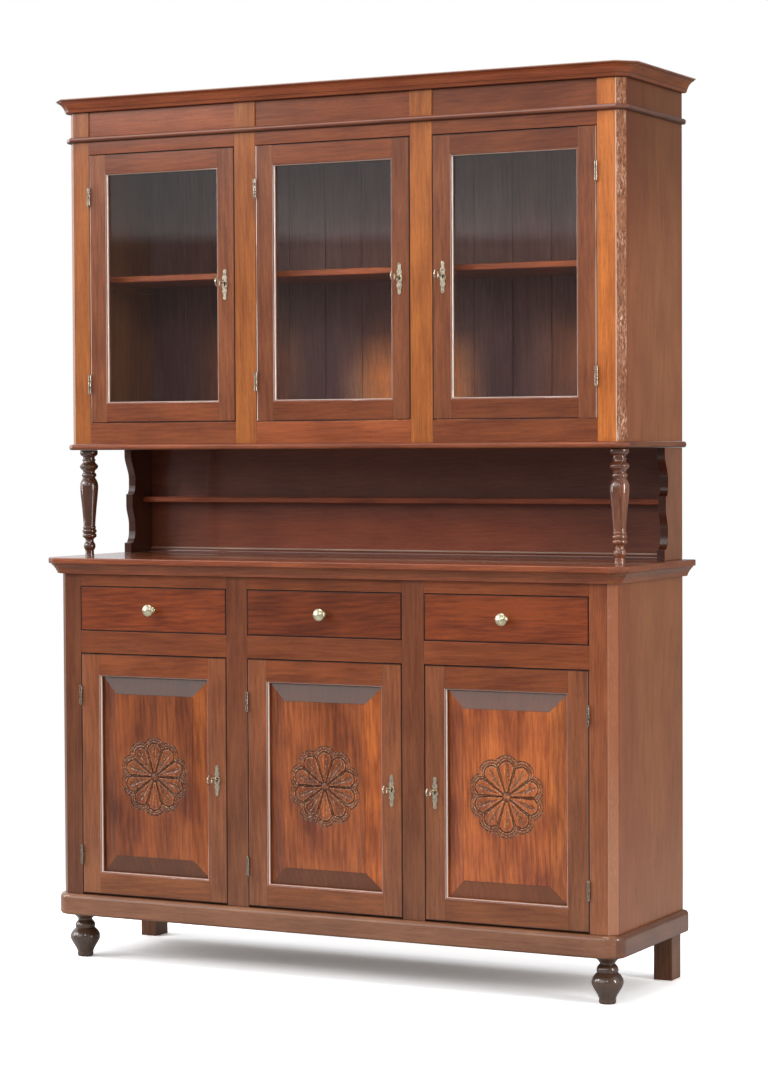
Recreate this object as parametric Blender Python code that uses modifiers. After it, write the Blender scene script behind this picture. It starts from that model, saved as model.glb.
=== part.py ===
"""China cabinet in stained hardwood: a three-door base with drawers, and a glazed hutch on turned columns.

Metres, +Z up. The front faces -Y, and left and right are as seen from the front.
The origin is on the floor, under the middle of the cabinet's outer box.
"""
from math import acos, asin, cos, pi, sin, sqrt, tan

import bmesh
import bpy
from mathutils import Matrix, Vector

# Carcass
opening_width = 0.412
muntin_width = 0.057
stile_face_width = 0.045
corner_cant = 0.018
frame_thickness = 0.022
side_thickness = 0.020
back_thickness = 0.010
seat_gap = 0.0003
cut_overrun = 0.005
cleat_size = 0.014
shelf_edge_softening = 0.0015

# Base unit
base_depth = 0.414
foot_height = 0.1095
foot_radius = 0.0365
foot_side_inset = 0.039
foot_front_inset = 0.0455
rear_leg_width = 0.046
rear_leg_depth = 0.056
rear_leg_inset = 0.006
rear_leg_edge_softening = 0.001
plinth_height = 0.052
plinth_overhang = 0.014
plinth_corner_radius = 0.030
plinth_board_thickness = 0.026
plinth_block_size = 0.110
base_door_opening_height = 0.5945
mid_rail_height = 0.054
drawer_opening_height = 0.110
top_rail_height = 0.030
base_bottom_thickness = 0.018
base_shelf_thickness = 0.018
base_shelf_height = 0.290
base_shelf_setback = 0.030
worktop_thickness = 0.039
worktop_overhang = 0.033

# Niche between the worktop and the hutch
niche_height = 0.263
column_radius = 0.0225
column_side_inset = 0.028
column_front_inset = 0.044
bracket_depth = 0.113
bracket_thickness = 0.020
niche_back_thickness = 0.012
niche_moulding_height = 0.013
niche_moulding_depth = 0.010
niche_shelf_depth = 0.042
niche_shelf_thickness = 0.014
niche_shelf_height = 0.129

# Hutch
hutch_depth = 0.362
hutch_bottom_thickness = 0.014
hutch_bottom_overhang = 0.010
hutch_bottom_rail_height = 0.052
hutch_door_opening_height = 0.658
head_rail_height = 0.104
frieze_height = 0.060
frieze_depth = 0.003
bead_height = 0.013
bead_overhang = 0.010
cornice_height = 0.032
cornice_overhang = 0.035
hutch_shelf_thickness = 0.014
hutch_shelf_height = 0.399
hutch_shelf_setback = 0.062
matchboard_count = 14
matchboard_groove_depth = 0.0025

# Doors
door_side_gap = 0.0015
door_top_gap = 0.002
base_door_bottom_gap = 0.004
hutch_door_bottom_gap = 0.002
base_door_member = 0.055
hutch_door_member = 0.050
inner_moulding = 0.005
groove_depth = 0.008
panel_tongue_thickness = 0.005
panel_groove_setback = 0.0125
panel_bevel_width = 0.042
panel_field_setback = 0.003
panel_shoulder = 0.0015
glass_thickness = 0.003
glass_groove_setback = 0.0105
rosette_radius = 0.092
rosette_relief = 0.0032
rosette_bed = 0.0012
petal_count = 10

# Hinges
hinge_height = 0.045
knuckle_radius = 0.0038
knuckle_clearance = 0.0004
hinge_leaf_depth = 0.014
hinge_leaf_bed = 0.001
hinge_top_inset = 0.101
hinge_bottom_inset = 0.094

# Locks and keys
lock_edge_distance = 0.026
escutcheon_height = 0.073
escutcheon_width = 0.017
escutcheon_thickness = 0.0016
escutcheon_bed = 0.0006
keyhole_rise = 0.005
key_shank_radius = 0.0022
key_clearance = 0.0005
key_bit_reach = 0.0070
key_bit_width = 0.0024
key_bit_thickness = 0.0030
key_collar_radius = 0.0036
key_collar_length = 0.0030
key_stem_length = 0.0225
key_bow_radius = 0.0105
key_bow_wire_radius = 0.0019
bolt_length = 0.0400
bolt_height = 0.0100
bolt_thickness = 0.0050
bolt_axis_rise = 0.0045
bolt_travel = 0.0080
bolt_end_setback = 0.0005
bolt_clearance = 0.0003
bolt_notch_height = 0.0033
bolt_notch_half_width = 0.0064
bolt_face_setback = 0.0065
mortise_clearance = 0.001

# Drawers
drawer_front_thickness = 0.020
drawer_front_gap = 0.0015
drawer_edge_softening = 0.0015
drawer_box_height = 0.090
drawer_rear_clearance = 0.0287
drawer_box_side_gap = 0.003
drawer_wall_thickness = 0.012
drawer_bottom_thickness = 0.007
drawer_deck_thickness = 0.012
drawer_guide_height = 0.035
knob_radius = 0.0147
knob_projection = 0.032
knob_stud_radius = 0.0025
knob_stud_length = 0.012
stud_clearance = 0.0004

# Dowels of the feet and the columns
dowel_radius = 0.008
dowel_length = 0.012
column_top_dowel_length = 0.006
dowel_clearance = 0.0004

# Mesh settings that are not sizes of the cabinet
weld_distance = 0.00001
screw_merge_distance = 0.0001
flat_angle = 0.002

# Levels above the floor
plinth_top = foot_height + plinth_height
door_rail_level = plinth_top + base_door_opening_height
drawer_level = door_rail_level + mid_rail_height
drawer_top_level = drawer_level + drawer_opening_height
worktop_bottom = drawer_top_level + top_rail_height
worktop_top = worktop_bottom + worktop_thickness
hutch_bottom_level = worktop_top + niche_height
hutch_floor = hutch_bottom_level + hutch_bottom_thickness
hutch_door_level = hutch_floor + hutch_bottom_rail_height
head_rail_level = hutch_door_level + hutch_door_opening_height
cornice_level = head_rail_level + head_rail_height
cabinet_top = cornice_level + cornice_height

# Places across and through the cabinet
bay_pitch = opening_width + muntin_width
half_opening = opening_width / 2
half_width = bay_pitch + half_opening + stile_face_width + corner_cant
side_inner = half_width - side_thickness
key_projection = escutcheon_thickness + key_stem_length + 2 * key_bow_radius + key_bow_wire_radius
back_y = (base_depth + key_projection) / 2
base_front_y = back_y - base_depth
hutch_front_y = back_y - hutch_depth
board_reach = side_inner - seat_gap
back_panel_y = back_y - back_thickness
bays = {"left": -1, "middle": 0, "right": 1}

# Turned outlines: radius and height as shares of the piece's radius and height, from the top down
foot_shares = (
    (0.84, 1.0), (0.80, 0.965), (0.60, 0.89), (0.47, 0.83), (0.48, 0.785), (0.62, 0.74), (0.68, 0.70),
    (0.66, 0.65), (0.78, 0.62), (0.93, 0.56), (1.0, 0.49), (0.97, 0.41), (0.83, 0.30), (0.64, 0.19),
    (0.53, 0.12), (0.54, 0.04), (0.50, 0.0),
)
column_shares = (
    (0.90, 1.0), (0.98, 0.975), (0.90, 0.95), (0.66, 0.93), (0.64, 0.905), (0.72, 0.88), (0.95, 0.862),
    (1.0, 0.845), (0.93, 0.825), (0.66, 0.805), (0.60, 0.785), (0.73, 0.765), (0.74, 0.745), (0.68, 0.735),
    (0.88, 0.70), (1.0, 0.64), (0.94, 0.56), (0.79, 0.43), (0.68, 0.33), (0.64, 0.275), (0.77, 0.245),
    (0.75, 0.225), (0.66, 0.21), (0.78, 0.195), (0.74, 0.17), (0.44, 0.148), (0.50, 0.13), (0.66, 0.095),
    (0.58, 0.062), (0.47, 0.05), (0.48, 0.0),
)
knob_shares = (
    (0.10, 1.0), (0.62, 0.93), (0.96, 0.82), (1.0, 0.76), (0.90, 0.70), (0.42, 0.60), (0.26, 0.45),
    (0.27, 0.20), (0.46, 0.09), (0.52, 0.0),
)

# Moulded edges: offset and height as shares of the overhang and the height, from the bottom up
worktop_edge_shares = (
    (0.36, 0.0), (0.42, 0.06), (0.48, 0.19), (0.62, 0.40), (0.76, 0.54), (0.82, 0.62), (0.94, 0.64),
    (1.0, 0.70), (1.0, 0.93), (0.94, 1.0),
)
cornice_edge_shares = (
    (0.06, 0.0), (0.28, 0.04), (0.34, 0.12), (0.38, 0.22), (0.44, 0.38), (0.58, 0.62), (0.74, 0.79),
    (0.90, 0.88), (1.0, 0.92), (1.0, 1.0),
)
hutch_bottom_edge_shares = ((0.50, 0.0), (0.90, 0.18), (1.0, 0.5), (0.90, 0.82), (0.50, 1.0))
plinth_edge_shares = (
    (0.60, 0.0), (0.92, 0.05), (1.0, 0.13), (1.0, 0.78), (0.90, 0.90), (0.60, 0.98), (0.1, 1.0),
)
bead_section_shares = ((0.62, 0.0), (0.92, 0.17), (1.0, 0.5), (0.92, 0.83), (0.62, 1.0))

# Front edge of a bracket: depth and drop as shares of its depth and height
bracket_nose_shares = (0.98, 0.045)
bracket_upper_waist_shares = (0.80, 0.29)
bracket_upper_hollow_shares = (0.885, 0.43)
bracket_cusp_shares = (0.92, 0.536)
bracket_lower_waist_shares = (0.815, 0.725)
bracket_lower_hollow_shares = (0.95, 0.89)
bracket_waist_run_share = 0.05

# Shares of small pieces
inner_moulding_arris_share = 0.35
inner_moulding_round_share = 0.25
niche_moulding_step_share = 0.5
niche_moulding_round_share = 0.6
niche_moulding_foot_share = 0.45
key_collar_place_share = 0.3
key_stem_taper_share = 0.8

# Upper right quarter of an escutcheon plate: half width and half height
escutcheon_shares = (
    (1.0, 0.0), (0.72, 0.20), (0.62, 0.28), (0.76, 0.38), (0.74, 0.48), (0.52, 0.56), (0.52, 0.86),
    (0.34, 0.97),
)

# Carved rosette, from the middle out: radius, height and how strongly the petals model it
rosette_shares = (
    (0.08, 1.0, 0.0), (0.13, 0.45, 0.0), (0.45, 0.75, 0.45), (0.76, 1.0, 0.55), (0.83, 0.30, 0.0),
    (0.88, 0.35, 0.0), (0.94, 0.85, 0.0), (1.0, 0.75, 0.0),
)
scallop_share = 0.055

wood_dark = (0.060, 0.016, 0.009)
wood_red = (0.150, 0.042, 0.018)
wood_orange = (0.240, 0.072, 0.026)
wood_inner = (0.200, 0.110, 0.055)
finishes = {
    "dark": (wood_dark, 0.22, 0.0),
    "red": (wood_red, 0.34, 0.0),
    "orange": (wood_orange, 0.34, 0.0),
    "inner": (wood_inner, 0.60, 0.0),
    "brass": ((0.62, 0.53, 0.34), 0.30, 1.0),
    "steel": ((0.30, 0.27, 0.22), 0.40, 1.0),
    "glass": ((0.85, 0.90, 0.88), 0.05, 0.0),
}


# Scene, collections and materials

for old_object in list(bpy.data.objects):
    bpy.data.objects.remove(old_object, do_unlink=True)
cabinet = bpy.data.collections.new("china_cabinet")
cutters = bpy.data.collections.new("cutters")
bpy.context.scene.collection.children.link(cabinet)
bpy.context.scene.collection.children.link(cutters)


def finish(part, kind):
    """Give a part its own plain material."""
    colour, roughness, metallic = finishes[kind]
    material = bpy.data.materials.new(part.name + "_finish")
    material.use_nodes = True
    shader = material.node_tree.nodes["Principled BSDF"]
    shader.inputs["Base Color"].default_value = (*colour, 1.0)
    shader.inputs["Roughness"].default_value = roughness
    shader.inputs["Metallic"].default_value = metallic
    material.diffuse_color = (*colour, 1.0)
    part.data.materials.append(material)
    return part


def add_object(name, mesh):
    """Link a new object of this mesh into the cabinet."""
    part = bpy.data.objects.new(name, mesh)
    cabinet.objects.link(part)
    return part


def add_bmesh(name, shape):
    """Turn a bmesh into a linked object."""
    mesh = bpy.data.meshes.new(name)
    shape.to_mesh(mesh)
    shape.free()
    return add_object(name, mesh)


def attach(child, parent):
    """Parent one object to another and leave it where it is."""
    bpy.context.view_layer.update()
    child.parent = parent
    child.matrix_parent_inverse = parent.matrix_world.inverted()


def pivot(name, point):
    """An empty on a joint's axis, which carries the pieces of one moving body."""
    empty = bpy.data.objects.new(name, None)
    empty.empty_display_size = knob_radius
    empty.location = point
    cabinet.objects.link(empty)
    return empty


# Shapes

def box(name, x_range, y_range, z_range):
    """A rectangular board between three pairs of limits."""
    limits = (x_range, y_range, z_range)
    middle = Vector([(low + high) / 2 for low, high in limits])
    size = [abs(high - low) for low, high in limits]
    shape = bmesh.new()
    bmesh.ops.create_cube(shape, size=1.0, matrix=Matrix.Translation(middle) @ Matrix.Diagonal((*size, 1.0)))
    return add_bmesh(name, shape)


def face_outwards(shape):
    """Turn all faces of a closed shape outwards."""
    bmesh.ops.recalc_face_normals(shape, faces=shape.faces)
    if shape.calc_volume(signed=True) < 0.0:
        bmesh.ops.reverse_faces(shape, faces=shape.faces)


def loft(name, rings, closed=False):
    """A skin over rings of matching points, capped at both ends or closed on itself."""
    shape = bmesh.new()
    loops = [[shape.verts.new(point) for point in ring] for ring in rings]
    following = loops[1:] + loops[:1] if closed else loops[1:]
    for loop, next_loop in zip(loops, following):
        for index in range(len(loop)):
            shape.faces.new((loop[index - 1], loop[index], next_loop[index], next_loop[index - 1]))
    if not closed:
        shape.faces.new(loops[0])
        shape.faces.new(loops[-1])
    face_outwards(shape)
    return add_bmesh(name, shape)


def plate(name, outline, axis, start, end):
    """A flat outline thickened along X, Y or Z from start to end."""
    curve = bpy.data.curves.new(name, "CURVE")
    curve.dimensions = "2D"
    curve.fill_mode = "BOTH"
    curve.extrude = abs(end - start) / 2
    spline = curve.splines.new("POLY")
    spline.points.add(len(outline) - 1)
    for point, (across, up) in zip(spline.points, outline):
        point.co = (across, up, 0.0, 1.0)
    spline.use_cyclic_u = True
    holder = add_object(name, curve)
    bpy.context.view_layer.update()
    depsgraph = bpy.context.evaluated_depsgraph_get()
    mesh = bpy.data.meshes.new_from_object(holder.evaluated_get(depsgraph))
    bpy.data.objects.remove(holder, do_unlink=True)
    bpy.data.curves.remove(curve)
    middle = (start + end) / 2
    turns = {
        "X": Matrix(((0, 0, 1, middle), (1, 0, 0, 0), (0, 1, 0, 0), (0, 0, 0, 1))),
        "Y": Matrix(((1, 0, 0, 0), (0, 0, -1, middle), (0, 1, 0, 0), (0, 0, 0, 1))),
        "Z": Matrix(((1, 0, 0, 0), (0, 1, 0, 0), (0, 0, 1, middle), (0, 0, 0, 1))),
    }
    shape = bmesh.new()
    shape.from_mesh(mesh)
    bpy.data.meshes.remove(mesh)
    shape.transform(turns[axis])
    bmesh.ops.remove_doubles(shape, verts=shape.verts, dist=weld_distance)
    bmesh.ops.dissolve_limit(shape, angle_limit=flat_angle, verts=shape.verts, edges=shape.edges)
    face_outwards(shape)
    return add_bmesh(name, shape)


def turned(name, profile, steps, location, facing_front=False):
    """A lathe-turned piece: a profile of radius and height, top first, under a Screw modifier."""
    mesh = bpy.data.meshes.new(name)
    points = [(radius, 0.0, height) for radius, height in profile]
    mesh.from_pydata(points, [(index, index + 1) for index in range(len(points) - 1)], [])
    part = add_object(name, mesh)
    part.location = location
    if facing_front:
        part.rotation_euler = (pi / 2, 0.0, 0.0)
    screw = part.modifiers.new("turning", "SCREW")
    screw.axis = "Z"
    screw.angle = 2 * pi
    screw.steps = steps
    screw.render_steps = steps
    screw.use_merge_vertices = True
    screw.merge_threshold = screw_merge_distance
    screw.use_smooth_shade = True
    return part


def soften(part, width, segments=1):
    """Round the sharp edges of a part."""
    bevel = part.modifiers.new("softened_edges", "BEVEL")
    bevel.width = width
    bevel.segments = segments
    bevel.limit_method = "ANGLE"
    return part


def combine(target, tool, operation):
    """Cut a tool out of a part, or join it on, with a live Boolean modifier."""
    cabinet.objects.unlink(tool)
    cutters.objects.link(tool)
    tool.hide_render = True
    tool.display_type = "WIRE"
    boolean = target.modifiers.new(tool.name, "BOOLEAN")
    boolean.object = tool
    boolean.operation = operation
    attach(tool, target)


def cut(target, tool):
    """Take a tool's shape out of a part."""
    combine(target, tool, "DIFFERENCE")


def join(target, tool):
    """Fuse a tool's shape to a part."""
    combine(target, tool, "UNION")


def merged(name, tools):
    """One tool object out of several that lie apart."""
    shape = bmesh.new()
    for tool in tools:
        shape.from_mesh(tool.data)
        bpy.data.objects.remove(tool, do_unlink=True)
    return add_bmesh(name, shape)


# Outlines

def canted_outline(front_y, offset):
    """The carcass outline from above with 45 degree corners, grown evenly by an offset."""
    turn = offset * tan(pi / 8)
    right = [
        (half_width + offset, back_y),
        (half_width + offset, front_y + corner_cant - turn),
        (half_width - corner_cant + turn, front_y - offset),
    ]
    return right + [(-x, y) for x, y in reversed(right)]


def rounded_outline(front_y, offset, radius, steps=4):
    """The carcass outline from above with round front corners, grown evenly by an offset."""
    right = [(half_width + offset, back_y)]
    for step in range(steps + 1):
        angle = pi / 2 * step / steps
        right.append((
            half_width - radius + (radius + offset) * cos(angle),
            front_y + radius - (radius + offset) * sin(angle),
        ))
    return right + [(-x, y) for x, y in reversed(right)]


def rectangle(x_range, z_range):
    """Four corners of an upright rectangle."""
    (left, right), (bottom, top) = x_range, z_range
    return [(left, bottom), (right, bottom), (right, top), (left, top)]


def upright_ring(x_range, z_range, inset, y):
    """Four corners of an upright rectangle drawn in by an inset, at one depth."""
    (left, right), (bottom, top) = x_range, z_range
    corners = rectangle((left + inset, right - inset), (bottom + inset, top - inset))
    return [(x, y, z) for x, z in corners]


def arc(centre, radius, start, end, steps):
    """Points along an arc in a plane, both ends included."""
    angles = [start + (end - start) * step / steps for step in range(steps + 1)]
    return [(centre[0] + radius * cos(angle), centre[1] + radius * sin(angle)) for angle in angles]


def circle(centre, radius, steps):
    """Evenly spaced points round a circle in a plane."""
    return arc(centre, radius, 0.0, 2 * pi, steps)[:-1]


def moulded_slab(name, outline, front_y, bottom, height, overhang, edge_shares):
    """A board whose edge follows a moulding round the front and both sides."""
    rings = []
    for offset_share, height_share in edge_shares:
        level = bottom + height * height_share
        rings.append([(x, y, level) for x, y in outline(front_y, overhang * offset_share)])
    return loft(name, rings)


def turned_profile(shares, radius, height):
    """A turned profile from its table of shares."""
    return [(radius * radius_share, height * height_share) for radius_share, height_share in shares]


def dowel_holes(name, places, bottom, top):
    """Cutters for round dowel holes."""
    radius = dowel_radius + dowel_clearance
    holes = []
    for index, place in enumerate(places):
        holes.append(plate(f"{name}_{index}", circle(place, radius, 12), "Z", bottom, top))
    return merged(name, holes)


# Base unit

def bay_edges(side):
    """Left and right edge of a bay's opening."""
    middle = bays[side] * bay_pitch
    return middle - half_opening, middle + half_opening


foot_places = [(sign * (half_width - foot_side_inset), base_front_y + foot_front_inset) for sign in (-1, 1)]
column_places = [
    (sign * (half_width - column_side_inset), hutch_front_y + column_front_inset) for sign in (-1, 1)
]


def build_feet():
    """Turned front feet with a dowel on top."""
    profile = turned_profile(foot_shares, foot_radius, foot_height - seat_gap)
    top = foot_height - seat_gap
    dowel = [(0.0, top + dowel_length), (dowel_radius, top + dowel_length), (dowel_radius, top)]
    for name, (x, y) in zip(("foot_front_left", "foot_front_right"), foot_places):
        finish(turned(name, dowel + profile + [(0.0, 0.0)], 14, (x, y, 0.0)), "dark")


def build_rear_legs():
    """Square rear legs under the plinth's rear corner blocks."""
    outer = half_width - rear_leg_inset
    for name, sign in (("leg_rear_left", -1), ("leg_rear_right", 1)):
        leg = box(
            name,
            sorted((sign * outer, sign * (outer - rear_leg_width))),
            (back_y - rear_leg_depth, back_y),
            (0.0, foot_height - seat_gap),
        )
        finish(soften(leg, rear_leg_edge_softening), "red")


def build_plinth():
    """Plinth of boards with a rounded top edge, round front corners and inner corner blocks."""
    def outline(front_y, offset):
        return rounded_outline(front_y, offset, plinth_corner_radius)

    plinth = moulded_slab(
        "plinth_frame", outline, base_front_y, foot_height, plinth_height, plinth_overhang,
        plinth_edge_shares,
    )
    wide = half_width + plinth_overhang - plinth_board_thickness
    narrow = half_width - plinth_block_size
    front = base_front_y - plinth_overhang + plinth_board_thickness
    rear = back_y - plinth_board_thickness
    front_block = base_front_y + plinth_block_size
    rear_block = back_y - plinth_block_size
    right = [(narrow, front), (narrow, front_block), (wide, front_block)]
    right += [(wide, rear_block), (narrow, rear_block), (narrow, rear)]
    hollow = right + [(-x, y) for x, y in reversed(right)]
    cut(plinth, plate("plinth_hollow", hollow, "Z", foot_height - cut_overrun, plinth_top + cut_overrun))
    hole_top = foot_height + dowel_length + dowel_clearance
    cut(plinth, dowel_holes("foot_dowel_holes", foot_places, foot_height - cut_overrun, hole_top))
    finish(plinth, "red")


def build_side(name, sign, front_y, bottom, top, cleat_level):
    """A side panel behind the corner stile, with a cleat for the shelf."""
    front = front_y + frame_thickness + seat_gap
    x_range = sorted((sign * side_inner, sign * half_width))
    side = box(name, x_range, (front, back_y), (bottom + seat_gap, top - seat_gap))
    cleat = box(
        name + "_cleat",
        sorted((sign * (side_inner - cleat_size), sign * (side_inner + seat_gap))),
        (front + hutch_shelf_setback, back_panel_y - seat_gap),
        (cleat_level - cleat_size - seat_gap, cleat_level - seat_gap),
    )
    join(side, cleat)
    finish(side, "red")


def build_base_boards():
    """Bottom, back, shelf and drawer deck inside the two base sides."""
    front = base_front_y + frame_thickness + seat_gap
    rear = back_panel_y - seat_gap
    for name, sign in (("base_side_left", -1), ("base_side_right", 1)):
        build_side(name, sign, base_front_y, plinth_top, worktop_bottom, plinth_top + base_shelf_height)
    bottom_range = (plinth_top + seat_gap, plinth_top + base_bottom_thickness)
    finish(box("base_bottom", (-board_reach, board_reach), (front, rear), bottom_range), "inner")
    back_range = (plinth_top + seat_gap, worktop_bottom - seat_gap)
    finish(box("base_back", (-board_reach, board_reach), (back_panel_y, back_y), back_range), "inner")
    shelf_level = plinth_top + base_shelf_height
    shelf_range = (shelf_level, shelf_level + base_shelf_thickness)
    shelf_front = front + base_shelf_setback
    finish(box("base_shelf", (-board_reach, board_reach), (shelf_front, rear), shelf_range), "inner")

    guide_top = drawer_level + drawer_guide_height
    outline = [(board_reach, drawer_level - drawer_deck_thickness), (board_reach, guide_top)]
    for side in ("right", "middle", "left"):
        left, right = bay_edges(side)
        outline += [(right, guide_top), (right, drawer_level), (left, drawer_level), (left, guide_top)]
    outline += [(-board_reach, guide_top), (-board_reach, drawer_level - drawer_deck_thickness)]
    finish(plate("drawer_deck", outline, "Y", front, rear), "inner")


def build_worktop():
    """Worktop with its moulded edge and the dowel holes of the columns."""
    top = moulded_slab(
        "worktop", canted_outline, base_front_y, worktop_bottom, worktop_thickness, worktop_overhang,
        worktop_edge_shares,
    )
    hole_bottom = worktop_top - dowel_length - dowel_clearance
    cut(top, dowel_holes("column_foot_holes", column_places, hole_bottom, worktop_top + cut_overrun))
    finish(top, "red")


# Hinges and locks

def knuckle_outline(axis_x, axis_y, web, web_end):
    """A hinge knuckle from above: a barrel and the leaf that runs back from it."""
    near, far = web
    arc_start = acos((far - axis_x) / knuckle_radius)
    arc_end = acos((near - axis_x) / knuckle_radius) - 2 * pi
    return arc((axis_x, axis_y), knuckle_radius, arc_start, arc_end, 7) + [(near, web_end), (far, web_end)]


def hinge_side(side):
    """Sign of the edge that a door hangs on: right doors on the right, the others on the left."""
    return 1 if side == "right" else -1


def hinge_axis(side, front_y):
    """Place of a door's hinge axis, from above."""
    edge = bays[side] * bay_pitch + hinge_side(side) * half_opening
    return edge - hinge_side(side) * door_side_gap / 2, front_y - knuckle_radius - knuckle_clearance


def hinge_levels(door_bottom, door_top):
    """Middle heights of a door's two hinges."""
    return door_bottom + hinge_bottom_inset, door_top - hinge_top_inset


def hinge_knuckles(name, side, front_y, levels, on_door):
    """The knuckles of one door's hinges that belong to the door or to the fixed frame."""
    axis_x, axis_y = hinge_axis(side, front_y)
    toward_door = -hinge_side(side) if on_door else hinge_side(side)
    start = axis_x + toward_door * knuckle_clearance / 2
    end = axis_x + toward_door * (door_side_gap / 2 + hinge_leaf_bed)
    outline = knuckle_outline(axis_x, axis_y, sorted((start, end)), front_y + hinge_leaf_depth)
    third = hinge_height / 3
    runs = [(-third / 2, third / 2)] if on_door else [(-1.5 * third, -third / 2), (third / 2, 1.5 * third)]
    knuckles = []
    for level in levels:
        for low, high in runs:
            bottom = level + low + knuckle_clearance / 2
            top = level + high - knuckle_clearance / 2
            knuckles.append(plate(f"{name}_{len(knuckles)}", outline, "Z", bottom, top))
    return knuckles


def lock_place(side, bottom, top):
    """Key axis of a door's lock, from the front, and the way its bolt is thrown."""
    throw = -hinge_side(side)
    edge = bays[side] * bay_pitch + throw * (half_opening - door_side_gap)
    return edge - throw * lock_edge_distance, (bottom + top) / 2 + keyhole_rise, throw


def keyhole_outline(x, z):
    """Round hole for the shank over a slot for the bit."""
    radius = key_shank_radius + key_clearance
    half_slot = key_bit_width / 2 + key_clearance
    slot_end = z - key_bit_reach - key_clearance
    turn = asin(half_slot / radius)
    curve = arc((x, z), radius, -pi / 2 + turn, 3 * pi / 2 - turn, 9)
    return curve + [(x - half_slot, slot_end), (x + half_slot, slot_end)]


def bolt_limits(x, z, throw, grow=0.0):
    """Room that a withdrawn bolt takes, from the front, with an optional clearance round it."""
    end = x + throw * (lock_edge_distance - bolt_end_setback + grow)
    tail = end - throw * (bolt_length + 2 * grow)
    low = z + bolt_axis_rise - grow
    return sorted((tail, end)), (low, low + bolt_height + 2 * grow)


def mortise_tool(name, side, front_y, bottom, top):
    """Cutter for the socket in the muntin that takes the thrown bolt."""
    x, z, throw = lock_place(side, bottom, top)
    edge = x + throw * (lock_edge_distance + door_side_gap)
    reach = bolt_travel - bolt_end_setback - door_side_gap + mortise_clearance
    (_, _), (low, high) = bolt_limits(x, z, throw)
    y = front_y + bolt_face_setback
    return box(
        name,
        sorted((edge - throw * cut_overrun, edge + throw * reach)),
        (y - mortise_clearance, y + bolt_thickness + mortise_clearance),
        (low - mortise_clearance, high + mortise_clearance),
    )


def fit_lock(frame, prefix, side, front_y, bottom, top):
    """Escutcheon on the door's free stile, and the hollows for its key and bolt."""
    x, z, throw = lock_place(side, bottom, top)
    middle = z - keyhole_rise
    half_height = escutcheon_height / 2
    quarter = [(escutcheon_width / 2 * wide, half_height * high) for wide, high in escutcheon_shares]
    upper = quarter + [(-across, up) for across, up in reversed(quarter)]
    lower = [(-across, -up) for across, up in upper[1:-1]]
    outline = [(x + across, middle + up) for across, up in upper + lower]
    face = front_y - escutcheon_thickness
    join(frame, plate(f"{prefix}_escutcheon_{side}", outline, "Y", face, front_y + escutcheon_bed))

    hollow_front = front_y + bolt_face_setback - bolt_clearance
    hollow_rear = front_y + bolt_face_setback + bolt_thickness + bolt_clearance
    hole = keyhole_outline(x, z)
    cut(frame, plate(f"{prefix}_keyhole_{side}", hole, "Y", face - cut_overrun, hollow_rear - bolt_clearance))
    sweep = circle((x, z), key_bit_reach + key_clearance, 16)
    sweep_range = (hollow_front - seat_gap, hollow_rear + seat_gap)
    cut(frame, plate(f"{prefix}_bit_sweep_{side}", sweep, "Y", *sweep_range))
    (near, far), z_range = bolt_limits(x, z, throw, bolt_clearance)
    slot_x = (near - cut_overrun, far) if throw < 0 else (near, far + cut_overrun)
    cut(frame, box(f"{prefix}_bolt_slot_{side}", slot_x, (hollow_front, hollow_rear), z_range))


def build_bolt(name, side, front_y, bottom, top):
    """Sliding lock bolt with the notch that the key's bit turns in."""
    x, z, throw = lock_place(side, bottom, top)
    x_range, (low, high) = bolt_limits(x, z, throw)
    y = front_y + bolt_face_setback
    bolt = box(name, x_range, (y, y + bolt_thickness), (low, high))
    notch = x - throw * bolt_travel / 2
    cut(bolt, box(
        name + "_notch",
        (notch - bolt_notch_half_width, notch + bolt_notch_half_width),
        (y - cut_overrun, y + bolt_thickness + cut_overrun),
        (low - cut_overrun, low + bolt_notch_height),
    ))
    return finish(bolt, "steel")


def build_key(name, side, front_y, bottom, top):
    """Key in its lock: shank with a collar, ring bow in front and bit inside the door."""
    x, z, throw = lock_place(side, bottom, top)
    plate_face = front_y - escutcheon_thickness
    tip = front_y + bolt_face_setback + bolt_thickness - bolt_clearance
    collar_end = key_stem_length * key_collar_place_share
    profile = [
        (0.0, key_stem_length),
        (key_shank_radius * key_stem_taper_share, key_stem_length),
        (key_shank_radius, collar_end + key_collar_length),
        (key_collar_radius, collar_end + key_collar_length),
        (key_collar_radius, collar_end),
        (key_shank_radius, collar_end),
        (key_shank_radius, plate_face - tip),
        (0.0, plate_face - tip),
    ]
    key = turned(name, profile, 8, (x, plate_face, z), facing_front=True)
    bpy.ops.mesh.primitive_torus_add(
        major_radius=key_bow_radius, minor_radius=key_bow_wire_radius, major_segments=12, minor_segments=6,
        location=(x, plate_face - key_stem_length - key_bow_radius, z),
        rotation=(0.0, pi / 2, 0.0),
    )
    bow = bpy.context.object
    bow.name = name + "_bow"
    for collection in list(bow.users_collection):
        collection.objects.unlink(bow)
    cabinet.objects.link(bow)
    join(key, bow)
    bit_front = front_y + bolt_face_setback + (bolt_thickness - key_bit_thickness) / 2
    join(key, box(
        name + "_bit",
        (x - key_bit_width / 2, x + key_bit_width / 2),
        (bit_front, bit_front + key_bit_thickness),
        (z - key_bit_reach, z),
    ))
    return finish(key, "brass")


# Face frames

def bay_openings(name, front_y, bottom, top):
    """Cutters for the openings of the three bays between two levels."""
    y_range = (front_y - cut_overrun, front_y + frame_thickness + cut_overrun)
    return [box(f"{name}_{side}", bay_edges(side), y_range, (bottom, top)) for side in bays]


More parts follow.
